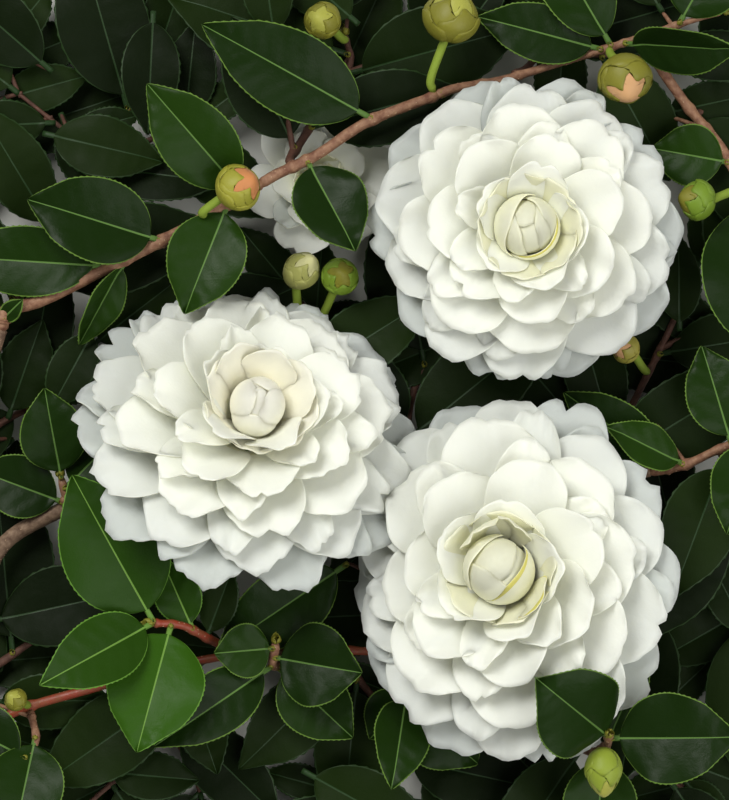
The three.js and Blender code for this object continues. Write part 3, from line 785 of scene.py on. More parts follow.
class Growth:
    """The branch's limbs, leaves, blooms and buds, each in its place."""

    def __init__(self) -> None:
        """Grows the whole branch in the order of its making."""
        self.space = Space()
        self.sprays: list[Spray] = []
        self.blooms = [
            Bloom(526, 229, 26, 0, 0, 1.012, 13, FULL_RINGS, Centre.CUP),
            Bloom(236, 458, 27, 27, 67, 1.1, 24, FULL_RINGS, Centre.CLUSTER, 0.05, 170),
            Bloom(524, 588, 27, 14, 142, 1.15, 39, FULL_RINGS, Centre.BALL, 0.1, 97),
            Bloom(320, 182, 6, 8, 100, 0.72, 41, OPENING_RINGS, Centre.OPENING),
        ]
        stem = Limb([plan(*p) for p in STEM], STEM_RADIUS, 2.3, 10)
        self.limbs: dict[str, Limb] = {"stem": stem}
        for name, (seat, aim, radii, points) in BOUGHS.items():
            path = [*seated(stem, *seat, plan(*aim)), *(plan(*p) for p in points)]
            self.limbs[name] = Limb(path, *radii, len(path) + 2)
        for name, bearer, seat, radii, points, rows in SPRAYS:
            self.spray(name, bearer, seat, radii, points, rows)
        for i, (bearer, seat, points, leaves) in enumerate(FILLERS):
            rule = Rule(leaves, 101 + i)
            self.spray(f"fill_spray_{i + 1}", bearer, seat, (1.3, 0.7), points, [], rule)
        self.make_stalks()
        self.buds = [Bud(*place, aim, self.limb(b), *seat) for place, aim, b, seat in BUDS]
        for i, bud in enumerate(self.buds):
            self.space.keep(f"bud_{i + 1}", bud.samples())
        for spray in self.sprays:
            if spray.rule:
                self.grow(spray)

    def limb(self, name: str) -> Limb:
        """The limb of a bough, stalk or spray."""
        sprays = {spray.name: spray.limb for spray in self.sprays}
        return self.limbs[name] if name in self.limbs else sprays[name]

    def spray(
        self,
        name: str,
        bearer: str,
        seat: Row,
        radii: Row,
        points: list[Row],
        rows: list[Row],
        rule: Rule | None = None,
    ) -> None:
        """Adds a twig with the leaves that its rows give.

        Args:
            name: the spray's name.
            bearer: the name of what it grows from.
            seat: plan position where it leaves the bearer's side, or none at its tip.
            radii: the twig's radius at its start and end.
            points: plan positions and heights of the twig.
            rows: its leaves.
            rule: how the rest grows.
        """
        onward, limb = [plan(*p) for p in points], self.limb(bearer)
        path = [*(seated(limb, *seat, onward[0]) if seat else limb.onward()), *onward]
        limb = Limb(path, *radii, len(path) * 2 - 2)
        self.space.keep(name, limb.samples())
        blades = []
        for row in rows:
            x, y, tip_x, tip_y, tip_z, width, *turns = (*row, *LEAF_TURNS)[:9]
            limb.joints.append(limb.nearest(x, y))
            root = limb.path.point(limb.nearest(x, y))
            blades.append(leaf_to(root, plan(tip_x, tip_y, tip_z), width, *turns))
        for blade in blades:
            self.space.keep(name, blade.samples(LEAF_START))
        # Sprays grown by rule are fillers and take the darker greens of painted shade.
        tone = Tone.DEEP_PAINTED_SHADE if rule else Tone.YOUNG if name == "young_spray" else Tone.SUNLIT
        self.sprays.append(Spray(name, limb, blades, rule, tone))

    def make_stalks(self) -> None:
        """The flower stalks, and the room that limbs and blooms take."""
        for i, (bearer, seat, between) in enumerate(STALKS):
            bloom = self.blooms[i]
            foot = bloom.root - bloom.axis * 4.2 * bloom.size
            points = [*(plan(*p) for p in between), foot]
            path = [*seated(self.limb(bearer), *seat, points[0]), *points]
            self.limbs[f"bloom_{i + 1}_stalk"] = Limb(path, 1.5, 1.7, 5)
        for name, limb in self.limbs.items():
            self.space.keep(name, limb.samples())
        for i, bloom in enumerate(self.blooms):
            self.space.keep(f"bloom_{i + 1}", bloom.samples())

    def grown_leaves(
        self, spray: Spray, limb: Limb, first: float, count: int, random: Seeded
    ) -> list[Blade]:
        """Leaves on both sides of a twig in turn, each kept only where it has room.

        Args:
            spray: the spray that they belong to.
            limb: the twig.
            first: share of the way to the first leaf.
            count: how many leaves are tried.
            random: the spray's draws.

        Returns:
            The leaves that found room.
        """
        name, rule, blades = spray.name, spray.rule, []
        for i in range(count):
            last = i == count - 1
            t = 0.99 if last else first + (1 - first) * i / (count - 1)
            root, tangent = limb.path.point(t), limb.path.tangent(t)
            if last:
                turn = random.spread(12)
            else:
                turn = (1 if i % 2 else -1) * (rule.spread + random.spread(14))
            heading = math.atan2(tangent[1], tangent[0]) + math.radians(turn)
            long = rule.length * (1 + random.spread(0.14))
            width = long * (0.48 + random.spread(0.05))
            rise = random.spread(rule.lift) + rule.rise
            roll = random.spread(16)
            bend = 24 + random.spread(8)
            for share, step in TRIES:
                tip = root + level(heading) * long * share
                tip[2] = max(root[2] + rise + step, LEAF_FLOOR)
                blade = leaf_to(root, tip, width * share, roll, bend, 8)
                spots = blade.samples(LEAF_START)
                if within(spots) and not self.space.near(spots, name, CLEAR, OWN_CLEAR):
                    self.space.keep(name, spots)
                    limb.joints.append(t)
                    blades.append(blade)
                    break
        return blades

    def grow(self, spray: Spray) -> None:
        """Side twigs and leaves of a spray that grows by rule."""
        rule, limb = spray.rule, spray.limb
        random = Seeded(rule.seed)
        spray.blades += self.grown_leaves(spray, limb, rule.first, rule.leaves, random)
        for i in range(rule.twigs):
            t = 0.3 + 0.45 * i / (rule.twigs - 1)
            root, tangent = limb.path.point(t), limb.path.tangent(t)
            turn = math.radians((-1 if i % 2 else 1) * (48 + random.spread(12)))
            heading = math.atan2(tangent[1], tangent[0]) + turn
            long = rule.twig_length * (1 + random.spread(0.2))
            end = root + level(heading) * long
            end[2] = max(root[2] + random.spread(3) - 2, TWIG_RADII[0] + 1)
            twig = Limb([root, (root + end) / 2 + UP * 1.2, end], *TWIG_RADII, 3)
            spots = twig.samples()
            if within(spots) and not self.space.near(spots, spray.name, CLEAR, 0):
                self.space.keep(spray.name, spots)
                limb.joints.append(t)
                spray.twigs.append(twig)
                spray.blades += self.grown_leaves(spray, twig, 0.5, 4, random)


# Leaves whose relief would touch a neighbour's: tip x, y and height, width, roll, arch and fold.
SETTLED: dict[tuple[str, int], Row] = {
    ("young_spray", 1): (42, 683, 51, 17.5, 5, 30, 12),
    ("young_spray", 2): (137, 752, 42, 25, 0, 30, 8),
}
# The leaf that the one large leaf takes the place of, and that one's root, tip and width.
OUTGROWN = ("lower_mid_spray", 4)
LARGE_LEAF = (348, 565, 215, 655, 19.0)


def settle(growth: Growth) -> None:
    """Bends leaves whose relief would touch a neighbour's, and drops one for a larger leaf.

    Args:
        growth: the branch, which is changed.
    """
    sprays = {spray.name: spray for spray in growth.sprays}
    for (name, index), (x, y, z, width, *turns) in SETTLED.items():
        blades = sprays[name].blades
        blades[index] = leaf_to(blades[index].root, plan(x, y, z), width, *turns)
    del sprays[OUTGROWN[0]].blades[OUTGROWN[1]]


class Cover:
    """Which cells of the plan are hidden from above by what has grown."""

    CELL = 1.5
    FRONT_CLEAR = 0.8

    def __init__(self, half_x: float, half_y: float) -> None:
        """Starts with every cell open.

        Args:
            half_x: half the width of the area that is to be covered.
            half_y: half its length.
        """
        self.half = np.array([half_x, half_y])
        cells = int(2 * half_x / self.CELL) + 1, int(2 * half_y / self.CELL) + 1
        self.open, self.front = np.ones(cells, bool), np.zeros(cells)

    def cells(self, spots: Numbers) -> tuple[tuple[Numbers, Numbers], Numbers]:
        """The cells that places lie in.

        Args:
            spots: the places.

        Returns:
            The cells' indices without those outside, and which places those are.
        """
        index = np.floor((spots[:, :2] + self.half) / self.CELL).astype(int)
        inside = np.all((index >= 0) & (index < np.array(self.open.shape)), axis=1)
        return (index[inside, 0], index[inside, 1]), inside

    def hide(self, spots: Numbers, front: bool = False) -> None:
        """Marks the cells of places as hidden.

        Args:
            spots: the places.
            front: whether nothing may grow over them later.
        """
        index, kept = self.cells(spots)
        self.open[index] = False
        if front:
            np.maximum.at(self.front, index, spots[kept, 2])

    def over_front(self, spots: Numbers) -> bool:
        """Whether places lie over anything that has to stay in view."""
        index, kept = self.cells(spots)
        front = self.front[index]
        return bool(np.any((front > 0) & (spots[kept, 2] > front - self.FRONT_CLEAR)))

    def widest(self) -> tuple[float, float, int]:
        """The middle of the widest open place.

        Returns:
            Its place, and how many cells lie round it.
        """
        left, middle, depth = self.open.copy(), None, 0
        while left.any():
            middle = np.argwhere(left)[0]
            depth += 1
            inner = left.copy()
            inner[1:] &= left[:-1]
            inner[:-1] &= left[1:]
            if depth % 2:
                inner[:, 1:] &= left[:, :-1]
                inner[:, :-1] &= left[:, 1:]
            left = inner
        if middle is None:
            return 0.0, 0.0, 0
        x, y = (middle + 0.5) * self.CELL - self.half
        return float(x), float(y), depth

    def close(self, x: float, y: float, radius: float) -> None:
        """Gives up on the cells round a place."""
        grid = np.indices(self.open.shape).transpose(1, 2, 0) * self.CELL - self.half
        self.open &= np.hypot(grid[..., 0] - x, grid[..., 1] - y) > radius


@dataclass(frozen=True)
class Perch:
    """A place along a twig that a finer twig may leave from."""

    spray: Spray
    limb: Limb
    t: float
    place: Numbers


class FinerGrowth:
    """Carries the rule on to finer twigs, towards the open places between the leaves."""

    FLATTEN = np.array([1 / 3.4, 1 / 3.4, 1.0])
    LEAST = 0.95
    TWIG_LEAST = 1.1
    HOSTS = 30
    SHORTEST, LONGEST = 5, 46
    LENGTHS = (40.0, 32.0, 25.0, 19.0)
    TURNS = (0.0, 30.0, -30.0, 60.0, -60.0, 95.0, -95.0)
    LEVELS = (0.0, -4.0, 4.0, -8.0, 8.0, -12.0)
    LOW = (1.2, 3.0, 5.0, 7.0)

    def __init__(self, growth: Growth, seed: int) -> None:
        """Notes what has grown so far.

        Args:
            growth: the branch as the source grows it.
            seed: start of the random draws.
        """
        self.growth, self.random = growth, Seeded(seed)
        self.cover = Cover(104.0, 113.0)
        taken = []
        for spray in growth.sprays:
            shown = spray.tone != Tone.DEEP_PAINTED_SHADE
            for blade in spray.blades:
                taken.append(blade.samples(0.12, 11, 7))
                self.cover.hide(blade.samples(0.1, 40, 24), shown)
            if shown:
                self.cover.hide(spray.limb.samples(), True)
        for blade in (blade for bloom in growth.blooms for ring in bloom.petals for blade in ring):
            taken.append(blade.samples(0.1, 9, 7))
            self.cover.hide(blade.samples(0.1, 36, 24), True)
        for bud in growth.buds:
            taken.append(bud.samples())
            self.cover.hide(bud.samples(), True)
        taken += [limb.samples() for limb in growth.limbs.values()]
        self.points = np.concatenate(taken)
        self.hosts: list[Perch] = []
        for spray in growth.sprays:
            for limb in (spray.limb, *spray.twigs):
                self.add_host(spray, limb)

    def add_host(self, spray: Spray, limb: Limb) -> None:
        """Notes the places of a twig that finer twigs may leave from."""
        for t in np.linspace(0.25, 1.0, 7):
            self.hosts.append(Perch(spray, limb, float(t), limb.path.point(float(t))))

    def free(self, spots: Numbers, flatten: Numbers, least: float) -> bool:
        """Whether places keep off everything that has grown.

        Args:
            spots: the places.
            flatten: factors on distances along each axis.
            least: the least distance.

        Returns:
            True where there is room.
        """
        if not within(spots) or spots[:, 2].min() < LEAF_FLOOR or self.cover.over_front(spots):
            return False
        reach = least / flatten
        low, high = spots.min(axis=0) - reach, spots.max(axis=0) + reach
        close = self.points[np.all((self.points > low) & (self.points < high), axis=1)]
        if not len(close):
            return True
        away = np.sum(((spots[:, None, :] - close[None, :, :]) * flatten) ** 2, axis=2)
        return bool(away.min() > least**2)

    def leaf_free(self, blade: Blade) -> bool:
        """Whether a leaf has room."""
        return self.free(blade.samples(LEAF_START, 9, 5), self.FLATTEN, self.LEAST)

    def take(self, spots: Numbers) -> None:
        """Adds places to what has grown."""
        self.points = np.concatenate([self.points, spots])

    def add_leaf(self, perch: Perch, blade: Blade) -> None:
        """Keeps a leaf, and a joint where it leaves the twig."""
        perch.limb.joints.append(perch.t)
        perch.spray.extra.append(blade)
        self.take(blade.samples(0.12, 11, 7))
        self.cover.hide(blade.samples(0.1, 40, 24))

    def leaf(self, root: Numbers, heading: float, long: float, rise: float) -> Blade:
        """A leaf by the rule of the sprays.

        Args:
            root: where it starts.
            heading: its direction in plan, in radians.
            long: its length.
            rise: how much higher its tip is.

        Returns:
            The leaf.
        """
        tip = root + level(heading) * long
        tip[2] = max(root[2] + rise, LEAF_FLOOR + 0.4)
        width = long * (0.49 + self.random.spread(0.04))
        return leaf_to(root, tip, width, self.random.spread(12), 24 + self.random.spread(7), 8)

    def reach_for(self, x: float, y: float) -> bool:
        """Grows a twig and leaf over an open place, where one finds room.

        Args:
            x: its place.
            y: its place.

        Returns:
            Whether one did.
        """
        away = [float(np.hypot(*(host.place[:2] - (x, y)))) for host in self.hosts]
        order = [i for i in np.argsort(away) if 7 < away[i] < 60][: self.HOSTS]
        for perch in (self.hosts[i] for i in order):
            straight = math.atan2(y - perch.place[1], x - perch.place[0])
            levels = (*(perch.place[2] + np.array(self.LEVELS)), *self.LOW)
            for turn in self.TURNS:
                heading = straight + math.radians(turn)
                for high in levels:
                    for long in self.LENGTHS:
                        root = np.array([x, y, max(high, 1.2)]) - level(heading) * long * 0.55
                        if self.try_leaf(perch, root, heading, long):
                            return True
        return False

    def try_leaf(self, perch: Perch, root: Numbers, heading: float, long: float) -> bool:
        """Keeps one leaf and the twig that bears it, where both have room.

        Args:
            perch: where the twig starts.
            root: where the leaf starts.
            heading: its direction in plan, in radians.
            long: its length.

        Returns:
            Whether it was kept.
        """
        start = perch.place
        gap = float(np.linalg.norm(root - start))
        if gap > self.LONGEST or abs(root[2] - start[2]) > 0.6 * gap + 1:
            return False
        sessile = gap < self.SHORTEST
        blade = self.leaf(start if sessile else root, heading, long, self.random.spread(3))
        if not self.leaf_free(blade):
            return False
        if sessile:
            self.add_leaf(perch, blade)
            return True
        twig = self.bear(perch, blade)
        if twig:
            self.side_leaves(perch.spray, twig, long)
        return twig is not None

    def bear(self, perch: Perch, blade: Blade) -> Limb | None:
        """Grows the twig that bears a leaf, and keeps both.

        Args:
            perch: where the twig starts.
            blade: the leaf.

        Returns:
            The twig, or None where it has no room.
        """
        start, root = perch.place, blade.root
        gap = float(np.linalg.norm(root - start))
        halfway = (start + root) / 2 + UP * min(1.2, gap * 0.06)
        twig = Limb([start, halfway, root], TWIG_RADII[1], 0.5, max(int(gap / 6), 2))
        spots = np.array([twig.path.point(s) for s in np.linspace(0.3, 1, 9)])
        if not self.free(spots, np.ones(3), self.TWIG_LEAST):
            return None
        perch.spray.twigs.append(twig)
        self.add_leaf(perch, blade)
        self.take(spots)
        self.add_host(perch.spray, twig)
        return twig

    def place_large(self) -> bool:
        """Grows the one large leaf that shows between the lower blooms.

        Returns:
            Whether it found room.
        """
        x, y, tip_x, tip_y, width = LARGE_LEAF
        for high in (22, 20, 24, 18, 16, 26, 14, 12):
            for rise in (0, 3, -3, 6):
                root = plan(x, y, high)
                blade = leaf_to(root, plan(tip_x, tip_y, high + rise), width, 0, 18, 8)
                if not self.leaf_free(blade):
                    continue
                away = [float(np.linalg.norm(host.place - root)) for host in self.hosts]
                near = [i for i in np.argsort(away) if self.SHORTEST < away[i] < self.LONGEST]
                if any(self.bear(self.hosts[i], blade) for i in near):
                    for spray in self.growth.sprays:
                        spray.extra = [kept for kept in spray.extra if kept is not blade]
                        if spray.name == OUTGROWN[0]:
                            spray.blades.append(blade)
                    return True
        return False

    def side_leaves(self, spray: Spray, twig: Limb, long: float) -> None:
        """Adds leaves on both sides of a new twig where they hide something open.

        Args:
            spray: the spray that they belong to.
            twig: the twig.
            long: the length of the leaf at its end.
        """
        for t, side in ((0.55, 1), (0.55, -1), (0.85, 1), (0.85, -1)):
            root, tangent = twig.path.point(t), twig.path.tangent(t)
            turn = math.radians(side * (50 + self.random.spread(12)))
            heading = math.atan2(tangent[1], tangent[0]) + turn
            blade = self.leaf(root, heading, long * 0.85, self.random.spread(3))
            opened = self.cover.open[self.cover.cells(blade.samples(0.1, 24, 12))[0]]
            if np.count_nonzero(opened) > 30 and self.leaf_free(blade):
                self.add_leaf(Perch(spray, twig, t, root), blade)

    def run(self, most: int, least_depth: int) -> None:
        """Grows until the open places are small.

        Args:
            most: how many open places are tried.
            least_depth: the narrowest place, in cells, that is worth a leaf.
        """
        for _ in range(most):
            x, y, depth = self.cover.widest()
            if depth < least_depth:
                break
            if not self.reach_for(x, y):
                self.cover.close(x, y, max(depth * 0.6, 1.1) * self.cover.CELL)


def shift_of(record: dict) -> Numbers:
    """How far the branch's plan lies from the frame's origin."""
    mount = next(m for m in record["mounts"] if m["name"] == "cut_end")
    return np.array(mount["pos_m"]) * MM_PER_METRE - plan(*CUT_END)


SHIFT = shift_of(frame["record"])


def placed(points: Numbers) -> Numbers:
    """Places in millimetres as places in the frame, in metres."""
    return (points + SHIFT) / MM_PER_METRE


def seen(red: float, green: float, blue: float) -> tuple[float, float, float, float]:
    """A colour as it is seen, made ready for a shader."""
    parts = [c / 12.92 if c < 0.04045 else ((c + 0.055) / 1.055) ** 2.4 for c in (red, green, blue)]
    return parts[0], parts[1], parts[2], 1.0


@dataclass(frozen=True)
class Grain:
    """A noise: its grains a metre, its finer layers, and how many metres it raises."""

    scale: float
    layers: float
    high: float = 0.0


class Shader:
    """Adds nodes to one material."""

    def __init__(self, name: str) -> None:
        """Makes the material with its surface node."""
        self.material = bpy.data.materials.new(name)
        self.material.use_nodes = True
        self.tree = self.material.node_tree
        self.surface = self.tree.nodes["Principled BSDF"]
        self.place = self.tree.nodes.new("ShaderNodeTexCoord").outputs["Object"]

    def node(self, kind: str, **values: object) -> Node:
        """A new node.

        Args:
            kind: the node's type without its first word.
            values: its inputs, with _ for a space.

        Returns:
            The node.
        """
        made = self.tree.nodes.new("ShaderNode" + kind)
        for name, value in values.items():
            made.inputs[name.replace("_", " ")].default_value = value
        return made

    def link(self, start: Socket, end: Socket | str) -> None:
        """Joins a socket to another, or to the surface's one of that name."""
        self.tree.links.new(start, self.surface.inputs[end] if isinstance(end, str) else end)

    def set(self, **values: object) -> None:
        """Sets the surface's own sockets, with _ for a space."""
        for name, value in values.items():
            self.surface.inputs[name.replace("_", " ")].default_value = value

    def noise(self, grain: Grain) -> Socket:
        """A noise on the object's own coordinates."""
        made = self.node("TexNoise", Scale=grain.scale, Detail=grain.layers, Roughness=0.55)
        self.link(self.place, made.inputs["Vector"])
        return made.outputs["Fac"]

    def ramp(self, source: Socket, low: float, high: float) -> Socket:
        """A number from 0.3 to 0.7 spread to run from low to high."""
        made = self.node("MapRange", From_Min=0.3, From_Max=0.7, To_Min=low, To_Max=high)
        self.link(source, made.inputs["Value"])
        return made.outputs["Result"]

    def bump(self, grain: Grain, share: float) -> None:
        """Raises the surface by a share of a grain's height."""
        made = self.node("Bump", Strength=share, Distance=grain.high)
        self.link(self.noise(grain), made.inputs["Height"])
        before = self.surface.inputs["Normal"].links
        if before:
            self.link(before[0].from_socket, made.inputs["Normal"])
        self.link(made.outputs["Normal"], "Normal")

    def skin(
        self, colour: Colour, grains: tuple[Grain, ...], gloss: tuple[float, float], share: float
    ) -> Material:
        """Colours the surface and grains it.

        Args:
            colour: the plain colour.
            grains: the grain of its gloss, then those that raise it.
            gloss: the least and most roughness.
            share: how much of the grains' height shows.

        Returns:
            The material.
        """
        self.set(Base_Color=seen(*colour))
        self.link(self.ramp(self.noise(grains[0]), *gloss), "Roughness")
        for grain in grains[1:]:
            self.bump(grain, share)
        return self.material


LEAF_GRAINS = (Grain(160, 2), Grain(2600, 2, 0.00012), Grain(420, 3, 0.0005))
PETAL_GRAINS = (Grain(220, 2), Grain(900, 3, 0.0003))
BARK_GRAINS = (Grain(520, 5), Grain(1900, 4, 0.0003), Grain(500, 3, 0.0006))
GROUND_GRAINS = (Grain(60, 4), Grain(60, 4, 0.0005))


@dataclass(frozen=True)
class LeafFinish:
    """The skin of a leaf: a plain colour under fine pores and uneven gloss."""

    name: str
    colour: Colour
    gloss: tuple[float, float] = (0.3, 0.46)
    shine: float = 0.09
    pores: float = 0.25

    def make(self) -> Material:
        """The material."""
        shader = Shader(self.name)
        shader.set(Specular_IOR_Level=self.shine)
        return shader.skin(self.colour, LEAF_GRAINS, self.gloss, self.pores)


@dataclass(frozen=True)
class PetalFinish:
    """The skin of a petal: a plain colour, soft and a little see-through."""

    name: str
    colour: Colour
    glow: float = 0.5
    gloss: tuple[float, float] = (0.5, 0.64)
    veins: float = 0.2

    def make(self) -> Material:
        """The material."""
        shader = Shader(self.name)
        shader.set(
            Specular_IOR_Level=0.3,
            Subsurface_Weight=self.glow,
            Subsurface_Radius=(1.0, 0.95, 0.8),
            Subsurface_Scale=0.003,
            Sheen_Weight=0.08,
            Sheen_Roughness=0.5,
        )
        return shader.skin(self.colour, PETAL_GRAINS, self.gloss, self.veins)


@dataclass(frozen=True)
class BarkFinish:
    """Bark: two colours in flecks, rough, with fine cracks."""

    name: str
    colour: Colour
    fleck: Colour
    rough: float = 0.72
    cracks: float = 0.5
    uneven: float = 0.1

    def make(self) -> Material:
        """The material."""
        shader = Shader(self.name)
        gloss = self.rough - self.uneven, self.rough + self.uneven
        shader.skin(self.colour, BARK_GRAINS, gloss, self.cracks)
        mix = shader.node("Mix")
        mix.data_type = "RGBA"
        colours = [socket for socket in mix.inputs if socket.type == "RGBA"]
        colours[0].default_value, colours[1].default_value = seen(*self.colour), seen(*self.fleck)
        shader.link(shader.ramp(shader.noise(BARK_GRAINS[0]), 0.0, 1.0), mix.inputs[0])
        shader.link(next(socket for socket in mix.outputs if socket.type == "RGBA"), "Base Color")
        return shader.material


@dataclass(frozen=True)
class GroundFinish:
    """The pale plain floor."""

    name: str
    colour: Colour
    gloss: tuple[float, float] = (0.7, 0.85)
    pits: float = 0.08

    def make(self) -> Material:
        """The material."""
        return Shader(self.name).skin(self.colour, GROUND_GRAINS, self.gloss, self.pits)


Finish = LeafFinish | PetalFinish | BarkFinish | GroundFinish

MATT, SOFT, DEEP_GLOSS, YOUNG_GLOSS = (0.5, 0.62), (0.42, 0.58), (0.46, 0.62), (0.34, 0.48)
# Three greens of each tone, then its margin, midrib and underside.
TONES = {
    Tone.SUNLIT: (
        LeafFinish("leaf_green", (0.095, 0.175, 0.035)),
        LeafFinish("leaf_dark_green", (0.08, 0.15, 0.032)),
        LeafFinish("leaf_mid_green", (0.115, 0.205, 0.04)),
        LeafFinish("leaf_margin", (0.36, 0.47, 0.2)),
        LeafFinish("leaf_midrib", (0.33, 0.45, 0.22)),
        LeafFinish("leaf_underside", (0.3, 0.4, 0.22), MATT, 0.25),
    ),
    # Painted shade: darker copies of the leaf greens, margin, midrib and underside, for the fillers
    # inside the branch.
    Tone.DEEP_PAINTED_SHADE: (
        LeafFinish("painted_shade_leaf_green", (0.08, 0.13, 0.035), DEEP_GLOSS, 0.06),
        LeafFinish("painted_shade_leaf_dark", (0.06, 0.1, 0.03), DEEP_GLOSS, 0.06),
        LeafFinish("painted_shade_leaf_mid", (0.095, 0.15, 0.04), DEEP_GLOSS, 0.06),
        LeafFinish("painted_shade_margin", (0.13, 0.21, 0.09), (0.42, 0.56), 0.2),
        LeafFinish("painted_shade_midrib", (0.13, 0.22, 0.1), (0.42, 0.56), 0.2),
        LeafFinish("painted_shade_underside", (0.15, 0.22, 0.11), MATT, 0.2),
    ),
    Tone.YOUNG: (
        LeafFinish("young_leaf_green", (0.155, 0.275, 0.055), YOUNG_GLOSS),
        LeafFinish("young_leaf_mid", (0.14, 0.25, 0.05), YOUNG_GLOSS),
        LeafFinish("young_leaf_light", (0.175, 0.31, 0.06), YOUNG_GLOSS),
        LeafFinish("young_margin", (0.36, 0.52, 0.2)),
        LeafFinish("young_midrib", (0.4, 0.54, 0.24)),
        LeafFinish("young_underside", (0.36, 0.5, 0.24), MATT, 0.25),
    ),
}
# Outer petals: painted shade, a grey where the light falls off. Middle petals: partly painted
# shade, a step between that grey and the real cream of the inner petals. The inner petals and the
# throat keep the petal's own cream.
PETALS = (
    PetalFinish("petal_outer_painted_shade", (0.77, 0.79, 0.765)),
    PetalFinish("petal_middle_part_painted_shade", (0.885, 0.895, 0.855)),
    PetalFinish("petal_inner", (0.945, 0.95, 0.895)),
    PetalFinish("petal_throat", (0.9, 0.89, 0.77)),
)
HEARTS = (
    PetalFinish("heart_petal", (0.91, 0.905, 0.775)),
    PetalFinish("heart_throat", (0.92, 0.91, 0.77)),
    PetalFinish("heart_gold", (0.8, 0.76, 0.38)),
    PetalFinish("heart_blush", (0.95, 0.935, 0.85)),
)
STEM_BARK = BarkFinish("stem_bark", (0.55, 0.45, 0.36), (0.33, 0.24, 0.18))
TWIG_BARK = BarkFinish("twig_bark", (0.6, 0.45, 0.34), (0.4, 0.24, 0.17), 0.66, 0.4)
YOUNG_BARK = BarkFinish("young_bark", (0.56, 0.2, 0.13), (0.47, 0.27, 0.15), 0.5, 0.25)
# Painted shade: a darker copy of the twig bark for the filler twigs inside the branch.
PAINTED_SHADE_BARK = BarkFinish("painted_shade_bark", (0.36, 0.22, 0.16), (0.26, 0.16, 0.12), 0.72, 0.4)
LENTICEL = BarkFinish("lenticel", (0.74, 0.62, 0.5), (0.62, 0.5, 0.4), 0.8, 0.3)
STALK_GREEN = LeafFinish("stalk_green", (0.5, 0.58, 0.22), MATT)
SEPAL = LeafFinish("sepal_green", (0.55, 0.62, 0.3), MATT)
BUD_SCALE = LeafFinish("bud_scale", (0.47, 0.46, 0.15), SOFT, 0.3)
BUD_SCALE_GREEN = LeafFinish("bud_scale_green", (0.42, 0.52, 0.15), SOFT, 0.3)
BUD_SCALE_TAN = LeafFinish("bud_scale_tan", (0.58, 0.55, 0.24), SOFT, 0.3)
BUD_SCALE_LIME = LeafFinish("bud_scale_lime", (0.52, 0.58, 0.19), SOFT, 0.3)
BUD_SCALE_PALE = LeafFinish("bud_scale_pale", (0.62, 0.62, 0.27), SOFT, 0.3)
BUD_SCALE_CREAM = LeafFinish("bud_scale_cream", (0.6, 0.6, 0.34), SOFT, 0.3)
BUD_SCALE_YELLOW = LeafFinish("bud_scale_yellow", (0.58, 0.57, 0.2), SOFT, 0.3)
BUD_BLUSH = PetalFinish("bud_blush", (0.76, 0.5, 0.3), 0.05)
BUD_CREAM = PetalFinish("bud_cream", (0.74, 0.73, 0.52), 0.08)
BUD_ROSE = PetalFinish("bud_rose", (0.78, 0.6, 0.42), 0.05)
# The inner and outer finish of each bud by its number, where they aren't pale and plain.
BUD_LOOKS = {
    1: (BUD_BLUSH, BUD_SCALE_YELLOW),
    4: (BUD_ROSE, BUD_SCALE),
    5: (BUD_SCALE, BUD_SCALE_GREEN),
    6: (BUD_ROSE, BUD_SCALE_TAN),
    7: (BUD_SCALE_PALE, BUD_SCALE_LIME),
    8: (BUD_SCALE, BUD_SCALE_GREEN),
    9: (BUD_CREAM, BUD_SCALE_CREAM),
}


class Dye:
    """Makes each finish once."""

    def __init__(self) -> None:
        """Starts with none made."""
        self.made: dict[str, Material] = {}

    def of(self, finish: Finish) -> Material:
        """The material of a finish."""
        if finish.name not in self.made:
            self.made[finish.name] = finish.make()
        return self.made[finish.name]


DYE = Dye()


def in_scene(name: str, data: bpy.types.ID) -> Piece:
    """An object with its data, in the scene."""
    made = bpy.data.objects.new(name, data)
    bpy.context.scene.collection.objects.link(made)
    return made


